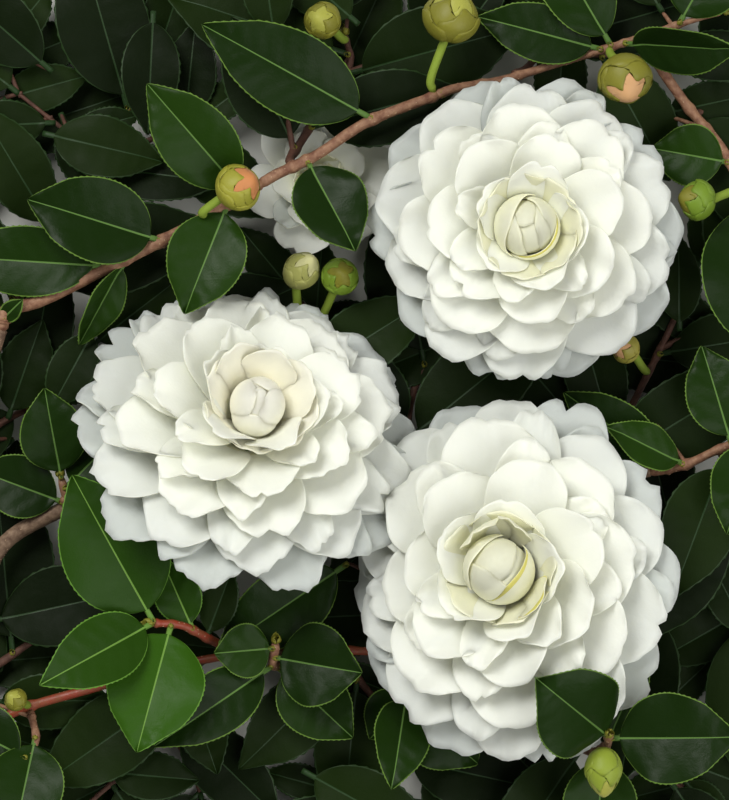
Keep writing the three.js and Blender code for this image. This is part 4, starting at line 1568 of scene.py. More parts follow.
class Sheets:
    """Gathers closed meshes into one piece, in metres."""

    def __init__(self) -> None:
        """Starts empty."""
        self.points: list[Numbers] = []
        self.faces: list[Numbers] = []
        self.slots: list[Numbers] = []
        self.count = 0

    def add(self, points: Numbers, *sets: tuple[Numbers, Numbers]) -> None:
        """Adds one mesh.

        Args:
            points: its places.
            sets: faces of one number of corners, with the slot of each.
        """
        for faces, slots in sets:
            self.faces.append(faces + self.count)
            self.slots.append(slots)
        self.points.append(points)
        self.count += len(points)

    def add_mesh(self, mesh: Mesh, slot: int) -> None:
        """Adds a copy of a mesh, all in one slot."""
        points = np.empty(len(mesh.vertices) * 3)
        mesh.vertices.foreach_get("co", points)
        totals, starts = (np.empty(len(mesh.polygons), int) for _ in range(2))
        corners = np.empty(len(mesh.loops), int)
        mesh.polygons.foreach_get("loop_total", totals)
        mesh.polygons.foreach_get("loop_start", starts)
        mesh.loops.foreach_get("vertex_index", corners)
        sets = []
        for total in np.unique(totals):
            faces = corners[starts[totals == total][:, None] + np.arange(total)]
            sets.append((faces, np.full(len(faces), slot)))
        self.add(points.reshape(-1, 3), *sets)

    def shell(
        self,
        places: tuple[Numbers, Numbers],
        over: Numbers,
        under: Numbers,
        top: Numbers,
        below: Numbers,
    ) -> None:
        """Adds a closed sheet.

        Args:
            places: rows and columns of places, and the face direction at each.
            over: thickness above each.
            under: thickness below each.
            top: slot of each upper face.
            below: slot of each lower face.
        """
        centre, normal = places
        rows, columns = centre.shape[:2]
        upper = placed(centre + normal * over[..., None]).reshape(-1, 3)
        lower = placed(centre - normal * under[..., None]).reshape(-1, 3)
        index = np.arange(rows * columns).reshape(rows, columns)
        a, b, c, d = index[:-1, :-1], index[1:, :-1], index[1:, 1:], index[:-1, 1:]
        quads = np.stack([a, b, c, d], axis=2).reshape(-1, 4)
        down = rows * columns
        sides = (
            (index[:-1, 0], index[1:, 0]),
            (index[1:, -1], index[:-1, -1]),
            (index[0, 1:], index[0, :-1]),
            (index[-1, :-1], index[-1, 1:]),
        )
        rims = [np.stack([at, at + down, to + down, to], axis=1) for at, to in sides]
        edge = np.concatenate(rims)
        rim_slot = np.full(len(edge), below.flat[0])
        faces = np.concatenate([quads, quads[:, ::-1] + down, edge])
        slots = np.concatenate([top.reshape(-1), below.reshape(-1), rim_slot])
        self.add(np.concatenate([upper, lower]), (faces, slots))

    def make(self, name: str, finishes: list[Finish]) -> Piece:
        """The piece.

        Args:
            name: its name.
            finishes: the finish of each slot.

        Returns:
            The object, at the origin.
        """
        mesh = bpy.data.meshes.new(name)
        points = np.concatenate(self.points)
        corners = np.concatenate([faces.reshape(-1) for faces in self.faces])
        totals = np.concatenate([np.full(len(faces), faces.shape[1]) for faces in self.faces])
        mesh.vertices.add(len(points))
        mesh.vertices.foreach_set("co", points.reshape(-1))
        mesh.loops.add(len(corners))
        mesh.loops.foreach_set("vertex_index", corners)
        mesh.polygons.add(len(totals))
        mesh.polygons.foreach_set("loop_start", np.concatenate([[0], np.cumsum(totals)[:-1]]))
        mesh.polygons.foreach_set("loop_total", totals)
        for finish in finishes:
            mesh.materials.append(DYE.of(finish))
        mesh.polygons.foreach_set("material_index", np.concatenate(self.slots))
        mesh.update(calc_edges=True)
        mesh.validate()
        mesh.shade_smooth()
        return in_scene(name, mesh)


class GeometryTree:
    """Builds one Geometry Nodes tree."""

    def __init__(self, name: str, **kinds: str) -> None:
        """Makes the tree with a geometry input and output.

        Args:
            name: the tree's name.
            kinds: the kind of each other input by its name, with _ for a space.
        """
        self.tree = bpy.data.node_groups.new(name, "GeometryNodeTree")
        sockets = self.tree.interface
        sockets.new_socket("Geometry", in_out="OUTPUT", socket_type="NodeSocketGeometry")
        self.keys: dict[str, str] = {}
        for key, kind in {"Geometry": "Geometry", **kinds}.items():
            shown, kind = key.replace("_", " "), "NodeSocket" + kind
            made = sockets.new_socket(shown, in_out="INPUT", socket_type=kind)
            self.keys[key] = made.identifier
        self.given = self.tree.nodes.new("NodeGroupInput").outputs
        self.end = self.tree.nodes.new("NodeGroupOutput")

    def node(self, kind: str, **values: object) -> Node:
        """A new node.

        Args:
            kind: its type, without the first words where it is a geometry node.
            values: plain values or sockets for its inputs, with _ for a space.

        Returns:
            The node.
        """
        special = kind.startswith(("Shader", "Function"))
        made = self.tree.nodes.new(kind if special else "GeometryNode" + kind)
        for name, value in values.items():
            self.put(value, made.inputs[name.replace("_", " ")])
        return made

    def put(self, value: object, socket: Socket) -> None:
        """Links a socket or sets a value."""
        if isinstance(value, Socket):
            self.tree.links.new(value, socket)
        else:
            socket.default_value = value

    def maths(self, operation: str, first: object, second: object = 0.0) -> Socket:
        """The result of a sum on two numbers."""
        made = self.tree.nodes.new("ShaderNodeMath")
        made.operation = operation
        self.put(first, made.inputs[0])
        self.put(second, made.inputs[1])
        return made.outputs[0]

    def finish(self, geometry: Socket) -> None:
        """Ends the tree: instances are made real and take their material."""
        real = self.node("RealizeInstances", Geometry=geometry)
        dyed = self.node("SetMaterial", Geometry=real.outputs[0], Material=self.given["Finish"])
        self.tree.links.new(dyed.outputs[0], self.end.inputs[0])

    def run(self, mesh: Mesh, **values: object) -> Mesh:
        """Runs the tree on a mesh.

        Args:
            mesh: what it starts from.
            values: its named inputs, with _ for a space.

        Returns:
            The plain mesh that it makes.
        """
        carrier = in_scene("carrier", mesh)
        modifier = carrier.modifiers.new("growth", "NODES")
        modifier.node_group = self.tree
        for name, value in values.items():
            modifier[self.keys[name]] = value
        graph = bpy.context.evaluated_depsgraph_get()
        made = bpy.data.meshes.new_from_object(carrier.evaluated_get(graph))
        carrier.modifiers.remove(modifier)
        bpy.data.objects.remove(carrier)
        return made


class LimbTree(GeometryTree):
    """A round limb with bark relief along each line of points."""

    def __init__(self) -> None:
        """Builds the tree."""
        kinds = {"Sides": "Int", "Relief": "Float", "Grain": "Float", "Finish": "Material"}
        super().__init__("limb_along_path", **kinds)
        given = self.given
        curve = self.node("MeshToCurve", Mesh=given["Geometry"])
        far = self.captured(curve.outputs[0], self.node("SplineParameter").outputs["Length"])
        ring = self.node("CurvePrimitiveCircle", Resolution=given["Sides"], Radius=1.0)
        around = self.captured(ring.outputs[0], self.node("SplineParameter").outputs["Factor"])
        girth = self.node("InputNamedAttribute", Name="girth").outputs["Attribute"]
        ends = {"Curve": far[0], "Profile_Curve": around[0], "Scale": girth, "Fill_Caps": True}
        tube = self.node("CurveToMesh", **ends)
        angle = self.maths("MULTIPLY", around[1], math.tau)
        place = self.node(
            "ShaderNodeCombineXYZ",
            X=self.maths("COSINE", angle),
            Y=self.maths("SINE", angle),
            Z=self.maths("MULTIPLY", far[1], given["Grain"]),
        )
        noise = self.node("ShaderNodeTexNoise", Vector=place.outputs[0], Scale=2.4, Detail=3.0)
        centred = self.maths("SUBTRACT", noise.outputs[0], 0.5)
        height = self.maths("MULTIPLY", centred, given["Relief"])
        offset = self.tree.nodes.new("ShaderNodeVectorMath")
        offset.operation = "SCALE"
        self.put(self.node("InputNormal").outputs[0], offset.inputs[0])
        self.put(height, offset.inputs["Scale"])
        raised = self.node("SetPosition", Geometry=tube.outputs[0], Offset=offset.outputs[0])
        self.finish(raised.outputs[0])

    def captured(self, geometry: Socket, value: Socket) -> tuple[Socket, Socket]:
        """Keeps a number on the points of a curve."""
        made = self.node("CaptureAttribute")
        made.capture_items.new("FLOAT", "kept")
        self.put(geometry, made.inputs[0])
        self.put(value, made.inputs[1])
        return made.outputs[0], made.outputs[1]


class LenticelTree(GeometryTree):
    """Small pale lens shapes scattered over bark."""

    def __init__(self) -> None:
        """Builds the tree."""
        kinds = {"Density": "Float", "Size": "Float", "Seed": "Int", "Finish": "Material"}
        super().__init__("lenticels_on_bark", **kinds)
        given = self.given
        chosen = {"Mesh": given["Geometry"], "Density": given["Density"], "Seed": given["Seed"]}
        spots = self.node("DistributePointsOnFaces", **chosen).outputs
        lens = self.node("MeshIcoSphere", Radius=1.0, Subdivisions=1)
        size = self.node(
            "ShaderNodeCombineXYZ",
            X=self.maths("MULTIPLY", given["Size"], 1.5),
            Y=given["Size"],
            Z=self.maths("MULTIPLY", given["Size"], 0.5),
        )
        put = self.node(
            "InstanceOnPoints",
            Points=spots["Points"],
            Instance=lens.outputs[0],
            Rotation=spots["Rotation"],
            Scale=size.outputs[0],
        )
        self.finish(put.outputs[0])


class ScaleTree(GeometryTree):
    """Bud scales in a spiral, each inner one taller and closer."""

    def __init__(self) -> None:
        """Builds the tree."""
        kinds = {"Count": "Int", "Turn": "Float", "Outer_Size": "Float", "Outer_Height": "Float"}
        super().__init__("scales_in_spiral", **kinds, Finish="Material")
        given = self.given
        index = self.node("InputIndex").outputs[0]
        left = self.maths("SUBTRACT", 1.0, self.maths("DIVIDE", index, given["Count"]))
        wide = self.maths("ADD", 1.0, self.maths("MULTIPLY", left, given["Outer Size"]))
        fall = self.maths("SUBTRACT", 1.0, given["Outer Height"])
        tall = self.maths("SUBTRACT", 1.0, self.maths("MULTIPLY", left, fall))
        drop = self.maths("MULTIPLY", self.maths("SUBTRACT", tall, 1.0), 0.97)
        seat = self.node("ShaderNodeCombineXYZ", Z=drop)
        spots = self.node("Points", Count=given["Count"], Position=seat.outputs[0])
        turn = self.node("ShaderNodeCombineXYZ", Z=self.maths("MULTIPLY", index, given["Turn"]))
        size = self.node("ShaderNodeCombineXYZ", X=wide, Y=wide, Z=tall)
        put = self.node(
            "InstanceOnPoints",
            Points=spots.outputs[0],
            Instance=given["Geometry"],
            Rotation=self.node("FunctionNodeEulerToRotation", Euler=turn.outputs[0]).outputs[0],
            Scale=size.outputs[0],
        )
        self.finish(put.outputs[0])


@dataclass
class LimbMaker:
    """Makes limbs, twigs and stalks with bark, leaf joints and lenticels."""

    joint_swell: float = 0.28
    joint_long: float = 0.9
    most_swell: float = 1.3
    end_share: float = 0.72
    slimmer: float = 0.72
    slim_long: float = 14.0
    sunk: float = 1.1
    relief: float = 0.16
    grain: float = 330.0
    lenticel_size: float = 0.16

    def __post_init__(self) -> None:
        """Builds the two trees."""
        self.limb_tree = LimbTree()
        self.lenticel_tree = LenticelTree()

    def lines(self, limbs: list[Limb], step: float, slim: bool) -> Mesh:
        """The middle lines of limbs, with their girth.

        Args:
            limbs: the limbs.
            step: how far apart the points are.
            slim: whether the first thins out from its start, and the rest are thin.

        Returns:
            A mesh of edges.
        """
        places, edges, girths = [], [], []
        for limb in limbs:
            rough = np.array([limb.path.point(t) for t in np.linspace(0, 1, 24)])
            long = float(np.sum(np.linalg.norm(np.diff(rough, axis=0), axis=1)))
            count = max(int(long / step), 6)
            first = len(places)
            for i in range(count + 1):
                t = i / count
                away = (((t - joint) * long / self.joint_long) ** 2 for joint in limb.joints)
                swell = min(sum(math.exp(-square) for square in away), self.most_swell)
                radius = limb.radius(t) * (1 + self.joint_swell * swell)
                if slim:
                    thin = 1 - math.exp(-((t * long / self.slim_long) ** 2))
                    radius *= 1 - (1 - self.slimmer) * (thin if limb is limbs[0] else 1.0)
                girths.append(radius * (self.end_share if i in (0, count) else 1.0) / MM_PER_METRE)
                places.append(limb.path.point(t))
            if limb.start_radius < STEM_RADIUS:
                places[first] = places[first] - limb.path.tangent(0) * self.sunk
            edges += [(first + i, first + i + 1) for i in range(count)]
        mesh = bpy.data.meshes.new("lines")
        mesh.from_pydata(placed(np.array(places)).tolist(), edges, [])
        mesh.attributes.new("girth", "FLOAT", "POINT").data.foreach_set("value", girths)
        return mesh

    def add(
        self,
        sheets: Sheets,
        limbs: list[Limb],
        finish: Finish,
        sides: int,
        step: float,
        slot: int = 0,
        dots: float = 0.0,
        slim: bool = False,
    ) -> None:
        """Adds limbs to a piece, with their lenticels in slot 1.

        Args:
            sheets: the piece.
            limbs: the limbs.
            finish: their finish.
            sides: how many sides they have.
            step: how long each length of them is.
            slot: their slot.
            dots: lenticels a square centimetre.
            slim: whether they thin out from their start.
        """
        if not limbs:
            return
        rough = 2.2 if limbs[0].start_radius > 2 else 1.0
        shape = {"Sides": sides, "Relief": self.relief / MM_PER_METRE * rough, "Grain": self.grain}
        bark = self.limb_tree.run(self.lines(limbs, step, slim), **shape, Finish=DYE.of(finish))
        sheets.add_mesh(bark, slot)
        if dots:
            spread = {"Density": dots * 1e4, "Size": self.lenticel_size / MM_PER_METRE, "Seed": 7}
            lenses = self.lenticel_tree.run(bark, **spread, Finish=DYE.of(LENTICEL))
            sheets.add_mesh(lenses, 1)


@dataclass(frozen=True)
class LeafDetail:
    """How finely a leaf is drawn."""

    teeth: int
    steps: int
    tooth: float = 0.24
    margin: float = 0.2
    midrib: float = 0.28
    quilting: float = 0.11
    vein_pitch: float = 4.8


NEAR_LEAF = LeafDetail(24, 5)
FAR_LEAF = LeafDetail(13, 2, 0.34, 0.24, 0.28, 0.1)


class LeafMaker:
    """Makes the leaves of one piece."""

    GREENS, EDGE, RIB, BELOW = 3, 3, 4, 5

    def __init__(self, seed: int) -> None:
        """Starts the draws that vary the leaves."""
        self.random = Seeded(seed)

    def add(self, sheets: Sheets, blade: Blade, detail: LeafDetail, base: int) -> None:
        """Adds one leaf.

        Args:
            sheets: the piece.
            blade: its place and size.
            detail: how finely it is drawn.
            base: the first slot of its tone.
        """
        rows = detail.teeth * 3
        petiole = np.linspace(0, PETIOLE_END, 4)[:-1]
        u = np.concatenate([petiole, np.linspace(PETIOLE_END, 1, rows + 1)])
        plain = blade.width / 2 * leaf_half(u) * (1 - 0.3 * np.clip((u - 0.76) / 0.24, 0, 1))
        half = np.maximum(plain, np.interp(u, [0, PETIOLE_END, 0.2, 1], [0.78, 0.72, 0.5, 0.1]))
        tooth = np.zeros_like(u)
        tooth[3:] = np.tile([0.0, 0.45, 1.0], detail.teeth + 1)[: rows + 1] * detail.tooth
        tooth *= np.clip((u - 0.16) / 0.1, 0, 1) * np.clip((1 - u) / 0.04, 0, 1)
        mid = np.minimum(detail.midrib * (1 - 0.62 * u), 0.3 * half)
        edge = np.maximum(half - detail.margin, 0.72 * half)
        shares = np.arange(detail.steps + 1) / detail.steps
        side = mid[:, None] + (edge - mid)[:, None] * shares[None, :]
        right = np.concatenate([side, (half + tooth)[:, None]], axis=1)
        across = np.concatenate([-right[:, ::-1], np.zeros((len(u), 1)), right], axis=1)
        v = across / half[:, None]
        grid = u[:, None] * np.ones_like(across)
        places = blade.surface(grid, across, self.lift(blade, detail, grid, across, v))
        over, under = self.thickness(grid, v)
        tone = base + int(self.random.next() * self.GREENS)
        sheets.shell(places, over, under, *self.slots(u, across.shape[1], tone, base))

    def lift(
        self, blade: Blade, detail: LeafDetail, u: Numbers, across: Numbers, v: Numbers
    ) -> Numbers:
        """The relief of the leaf's face: veins, quilting and a wavy edge.

        Args:
            blade: the leaf.
            detail: how finely it is drawn.
            u: shares of its length.
            across: distances from the midrib.
            v: the same as shares of the half width.

        Returns:
            The height of each place off the plain blade.
        """
        away = np.abs(v)
        along = u * blade.length - np.abs(across) * 0.8
        quilt = detail.quilting * np.cos(2 * np.pi * along / detail.vein_pitch)
        quilt *= np.sin(np.pi * np.clip(away, 0, 1)) ** 0.7 * np.clip((u - 0.12) / 0.1, 0, 1)
        phase, waves = self.random.next() * 6.28, 1.6 + self.random.next() * 1.2
        turn = 2 * np.pi * waves * u + phase + np.sign(v) * 0.9
        wavy = 0.03 * blade.width * np.sin(turn) * away**3
        groove = -0.16 * np.exp(-((across / 0.45) ** 2)) * np.clip((u - 0.1) / 0.1, 0, 1)
        curl = -0.018 * blade.width * np.clip(away - 0.7, 0, 1) ** 2 * 11 * self.random.next()
        tip = -0.06 * blade.width * np.clip(u - 0.8, 0, 1) * 5 * (0.3 + self.random.next())
        free = np.clip((u - PETIOLE_END) / 0.08, 0, 1)
        return (quilt + wavy + groove + curl + tip * (1 - away)) * free

    def thickness(self, u: Numbers, v: Numbers) -> tuple[Numbers, Numbers]:
        """How thick the leaf is above and below its middle sheet.

        Args:
            u: shares of its length.
            v: shares of its half width.

        Returns:
            The thickness above, and below.
        """
        blade = np.clip((u - PETIOLE_END) / 0.07, 0, 1)
        thin = 0.17 - 0.1 * np.clip(np.abs(v) - 0.8, 0, 1) * 5
        stalk = 0.66 * np.sqrt(1 - np.clip(np.abs(v), 0, 1) ** 2 * 0.96)
        ridge = 0.42 * (1 - 0.75 * u) * np.exp(-((v / 0.06) ** 2))
        over = stalk * (1 - blade) + np.maximum(thin, 0.06) * blade
        return over, over + ridge * blade

    def slots(self, u: Numbers, columns: int, tone: int, base: int) -> tuple[Numbers, Numbers]:
        """The slots of the upper and lower faces.

        Args:
            u: shares of the length of the rows.
            columns: how many columns of places there are.
            tone: slot of the blade's green.
            base: the first slot of its tone.

        Returns:
            The two arrays.
        """
        top = np.full((len(u) - 1, columns - 1), tone)
        middle = (columns - 1) // 2
        below = np.full_like(top, base + self.BELOW)
        top[:, [0, -1]] = below[:, [0, -1]] = base + self.EDGE
        top[:, [middle - 1, middle]] = base + self.RIB
        top[u[:-1] < PETIOLE_END - 0.001] = base + self.RIB
        return top, below


@dataclass
class PetalMaker:
    """Makes petals with cupped blades, ruffled edges and notched tips."""

    seed: int
    rows: int = 20
    columns: int = 17
    thick: float = 0.22
    slim: float = 1.0
    ragged: float = 0.5

    def __post_init__(self) -> None:
        """Starts the draws that vary the petals."""
        self.random = Seeded(self.seed)

    def add(
        self,
        sheets: Sheets,
        blade: Blade,
        slots: tuple[int, int, int],
        ruffle: float,
        cup: float,
        throat_long: float = 0.2,
    ) -> None:
        """Adds one petal.

        Args:
            sheets: the piece.
            blade: its place and size.
            slots: the slots of its face, its foot and its outermost faces.
            ruffle: height of the waves along its edge.
            cup: rise of its sides as a share of its width.
            throat_long: the share of its length that its foot takes.
        """
        draw = self.random
        s = (np.linspace(0, 1, self.rows) ** 0.92)[:, None] * np.ones((1, self.columns))
        v = np.sin(np.pi / 2 * np.linspace(-1, 1, self.columns) * 0.94) / math.sin(np.pi / 2 * 0.94)
        v = np.ones((self.rows, 1)) * v[None, :]
        swell = PETAL_BASE + (1 - PETAL_BASE) * np.sin(np.pi / 2 * np.clip(s / 0.7, 0, 1))
        half = np.where(s < 0.7, swell, 1 - 0.22 * ((s - 0.7) / 0.3) ** 2) * blade.width / 2
        half *= self.slim * (1 - 0.1 * draw.next())
        skew = draw.spread(0.03)
        arc = PETAL_WIDEST + (1 - PETAL_WIDEST) * np.sqrt(1 - (0.82 * v) ** 2) + skew * v
        u = s * (1 + (arc - 1) * s**2.4)
        notch = 0.085 * draw.next() * (draw.next() > 0.35)
        shift = draw.spread(0.25)
        u = u - notch * np.exp(-(((v - shift) / 0.15) ** 2)) * s**7
        u = u + 0.02 * self.ragged * np.sin(5.2 * v + draw.next() * 6.28) * s**5
        fine = 0.012 * self.ragged * (draw.next() > 0.5)
        u = u + fine * np.sin(14 * v + draw.next() * 6.28) * s**8
        wobble = 1 + 0.035 * np.sin(2 * np.pi * (1.2 * s + draw.next()))
        across = v * half * wobble
        lift = cup * blade.width * np.abs(v) ** 2.2 * s
        lift -= 0.035 * blade.width * np.abs(v) ** 7 * s * (0.4 + draw.next())
        waves, phase = 1.3 + draw.next(), draw.next() * 6.28
        lift += ruffle * np.sin(waves * 3.1 * v + phase) * s**3 * (0.35 + 0.65 * np.abs(v))
        lift += ruffle * 0.6 * np.sin(7.5 * v + draw.next() * 6.28) * s**5
        lift += draw.spread(1.0) * ruffle * 1.2 * s**5
        lift += 0.07 * np.cos(11 * v + draw.next()) * np.sin(np.pi * np.clip(s, 0, 1))
        rounded = np.maximum(np.abs(v) ** 8, s**14)
        over = self.thick * (1 - 0.62 * rounded) + 0.22 * (1 - s) ** 2
        face, throat, rim = slots
        top = np.full((self.rows - 1, self.columns - 1), face)
        top[s[:-1, :-1] < throat_long * (1 - 0.6 * v[:-1, :-1] ** 2)] = throat
        if rim != face:
            top[-2:] = rim
            top[:, [0, -1]] = rim
        below = np.where(top == throat, throat, face)
        sheets.shell(blade.surface(u, across, lift), over, over, top, below)


@dataclass
class BloomMaker:
    """Makes one bloom: its petals and its middle."""

    number: int
    bloom: Bloom
    narrow: float = 0.66
    added: float = 0.62
    wrap_low: float = 112
    wrap_tall: float = 1.14

    def petals(self) -> Piece:
        """All rings of petals."""
        slim, ragged = (0.9, 1.0) if self.bloom.centre == Centre.CLUSTER else (1.0, 0.4)
        sheets, maker = Sheets(), PetalMaker(500 + self.number, slim=slim, ragged=ragged)
        count = len(self.bloom.petals)
        for i, ring in enumerate(self.bloom.petals):
            # Slot 0 is the outer grey of painted shade, slot 1 the middle petals' part painted
            # shade, slot 2 the cream of the inner petals.
            slot = min(i if count > 3 else i + 1, 2) if i < count - 2 else 2
            for blade in ring:
                maker.add(sheets, blade, (slot, 3, slot), 0.75 - 0.08 * i, 0.05 + 0.015 * i)
        for i, ring in enumerate(self.bloom.between(self.narrow)):
            # The petals between the rings take the same painted-shade slots.
            slot = min(i, 2)
            for blade in ring:
                if maker.random.next() < self.added:
                    maker.add(sheets, blade, (slot, 3, slot), 0.8, 0.07)
        return sheets.make(f"bloom_{self.number}_petals", list(PETALS))

    def heart(self) -> Piece:
        """The middle."""
        sheets, maker = Sheets(), PetalMaker(700 + self.number, 16, 15, 0.22)
        slot = 3 if self.bloom.centre == Centre.CLUSTER else 0
        for petal in CENTRES[self.bloom.centre]:
            rim = 2 if petal.gold else slot
            if isinstance(petal, Wrap):
                self.wrap(sheets, maker.random, petal, (slot, rim))
            else:
                maker.add(sheets, self.bloom.standing(petal), (slot, 1, rim), 0.4, 0.12, 0.3)
        return sheets.make(f"bloom_{self.number}_heart", list(HEARTS))

    def wrap(self, sheets: Sheets, draw: Seeded, petal: Wrap, slots: tuple[int, int]) -> None:
        """Adds a petal folded over the middle.

        Args:
            sheets: the piece.
            draw: the random draws.
            petal: its place and size.
            slots: the slots of its face and its tip.
        """
        bloom, rows, columns = self.bloom, 18, 19
        out = bloom.outward(math.radians(petal.azimuth))
        side = np.cross(out, bloom.axis)
        s = np.linspace(0, 1, rows)[:, None] * np.ones((1, columns))
        even = np.linspace(-1, 1, columns)
        v = np.ones((rows, 1)) * np.sin(np.pi / 2 * even * 0.93)[None, :] / 0.994
        uneven = 0.012 * np.sin(6 * v + draw.next() * 6) * s**4
        reach = s * (1 - 0.15 * np.abs(v) ** 2.5 * s**2 + uneven)
        theta = np.radians(self.wrap_low - (self.wrap_low + petal.over) * reach)
        psi = np.radians(petal.wide) * v * np.interp(s, [0, 0.35, 0.75, 1], [0.8, 1.0, 0.96, 0.72])
        dented = 0.05 * np.sin(3 * v + draw.next() * 6) * s**3
        radius = petal.radius * (1 + dented - 0.03 * np.abs(v) ** 3)
        risen = np.cos(theta)[..., None] * bloom.axis * self.wrap_tall
        risen = risen + np.sin(theta)[..., None] * out
        away = np.cos(psi)[..., None] * risen + np.sin(psi)[..., None] * side
        middle = bloom.root + bloom.axis * petal.height * bloom.size
        centre = middle + away * (radius * bloom.size)[..., None]
        normal = away / np.linalg.norm(away, axis=2)[..., None]
        thick = 0.24 * (1 - 0.6 * np.maximum(np.abs(v) ** 8, s**12))
        top = np.full((rows - 1, columns - 1), slots[0])
        top[-2:] = slots[1]
        sheets.shell((centre, normal), thick, thick, top, np.full_like(top, 1))


def egg_half(height: Numbers, taper: float) -> Numbers:
    """The radius of an egg of radius one at heights from -1 to 1."""
    round_part = np.sqrt(np.maximum(1 - height**2, 0))
    return round_part * (1 - taper * np.maximum(height, 0))


@dataclass(frozen=True)
class Stand:
    """Where an egg stands: its middle, the direction of its tip, and its radii and half length."""

    middle: Numbers
    axis: Numbers
    size: Numbers

    def put(self, points: Numbers) -> Numbers:
        """Places on an egg of radius one about Z, stood there, in metres."""
        side = unit(np.cross(self.axis, np.array([0.31, 0.74, 0.6])))
        other = np.cross(self.axis, side)
        sized = points * self.size
        stood = sized[:, :1] * side + sized[:, 1:2] * other + sized[:, 2:] * self.axis
        return placed(stood + self.middle)


@dataclass
class ScaleMaker:
    """Makes overlapping scales round a core, and cups of sepals."""

    taper: float = 0.35
    thick: float = 0.03
    foot: float = -0.97
    rows: int = 9
    columns: int = 9
    golden: float = 2.39996

    def __post_init__(self) -> None:
        """Builds the tree that repeats a scale."""
        self.tree = ScaleTree()

    def scale(self, wide: float, top: float, start: float = 0.0) -> Mesh:
        """One scale on an egg of radius one about Z.

        Args:
            wide: half its width in radians.
            top: the height of its tip.
            start: its azimuth in radians.

        Returns:
            A closed mesh.
        """
        s = np.linspace(0, 1, self.rows)[:, None] * np.ones((1, self.columns))
        v = np.ones((self.rows, 1)) * np.linspace(-1, 1, self.columns)[None, :]
        height = self.foot + (top - self.foot) * s * (1 - 0.22 * np.abs(v) ** 2.4 * s**2)
        angle = start + v * wide * np.interp(s, [0, 0.35, 0.75, 1], [0.8, 1.0, 0.86, 0.34])
        lift = 0.02 + 0.01 * s**3 + 0.01 * np.cos(np.pi * v / 2)
        radius = egg_half(height, self.taper) + lift
        centre = np.stack([radius * np.cos(angle), radius * np.sin(angle), height], axis=2)
        normal = np.stack([np.cos(angle), np.sin(angle), 0.6 * height], axis=2)
        normal /= np.linalg.norm(normal, axis=2)[..., None]
        over = self.thick * (1 - 0.6 * np.maximum(np.abs(v) ** 4, s**6)) * MM_PER_METRE
        sheet, slot = Sheets(), np.zeros((self.rows - 1, self.columns - 1), int)
        back = centre[:, ::-1] * MM_PER_METRE - SHIFT, normal[:, ::-1]
        sheet.shell(back, over, over, slot, slot)
        mesh = bpy.data.meshes.new("scale")
        mesh.from_pydata(sheet.points[0].tolist(), [], sheet.faces[0].tolist())
        return mesh

    def core(self, sheets: Sheets, slot: int, stand: Stand) -> None:
        """Adds the egg inside the scales.

        Args:
            sheets: the piece.
            slot: its slot.
            stand: where it stands.
        """
        rings, sides = 11, 14
        heights = np.sin(np.linspace(-1.45, 1.45, rings))
        turns = np.linspace(0, math.tau, sides + 1)[:-1]
        radius = egg_half(heights, self.taper) * 0.98
        ring = np.stack([np.cos(turns), np.sin(turns)], axis=1)
        egg = [np.column_stack([ring * r, np.full(sides, h)]) for r, h in zip(radius, heights)]
        egg.append(np.array([[0, 0, -1.0], [0, 0, 1.0]]))
        index = np.arange(rings * sides).reshape(rings, sides)
        after = np.roll(index, -1, axis=1)
        quads = np.stack([index[:-1], after[:-1], after[1:], index[1:]], axis=2).reshape(-1, 4)
        low = np.stack([np.full(sides, rings * sides), after[0], index[0]], axis=1)
        high = np.stack([np.full(sides, rings * sides + 1), index[-1], after[-1]], axis=1)
        sets = [(faces, np.full(len(faces), slot)) for faces in (quads, low, high)]
        sheets.add(stand.put(np.concatenate(egg)), *sets)

    def spiral(
        self,
        sheets: Sheets,
        slot: int,
        finish: Finish,
        shape: Mesh,
        count: int,
        outer: tuple[float, float],
        stand: Stand,
    ) -> None:
        """Adds scales in a spiral.

        Args:
            sheets: the piece.
            slot: their slot.
            finish: their finish.
            shape: the one scale.
            count: how many.
            outer: how much wider, and how tall, the outermost is.
            stand: the egg that they lie on.
        """
        sizes = {"Outer_Size": outer[0], "Outer_Height": outer[1], "Finish": DYE.of(finish)}
        made = self.tree.run(shape.copy(), Count=count, Turn=self.golden, **sizes)
        first = len(sheets.points)
        sheets.add_mesh(made, slot)
        sheets.points[first] = stand.put(sheets.points[first])


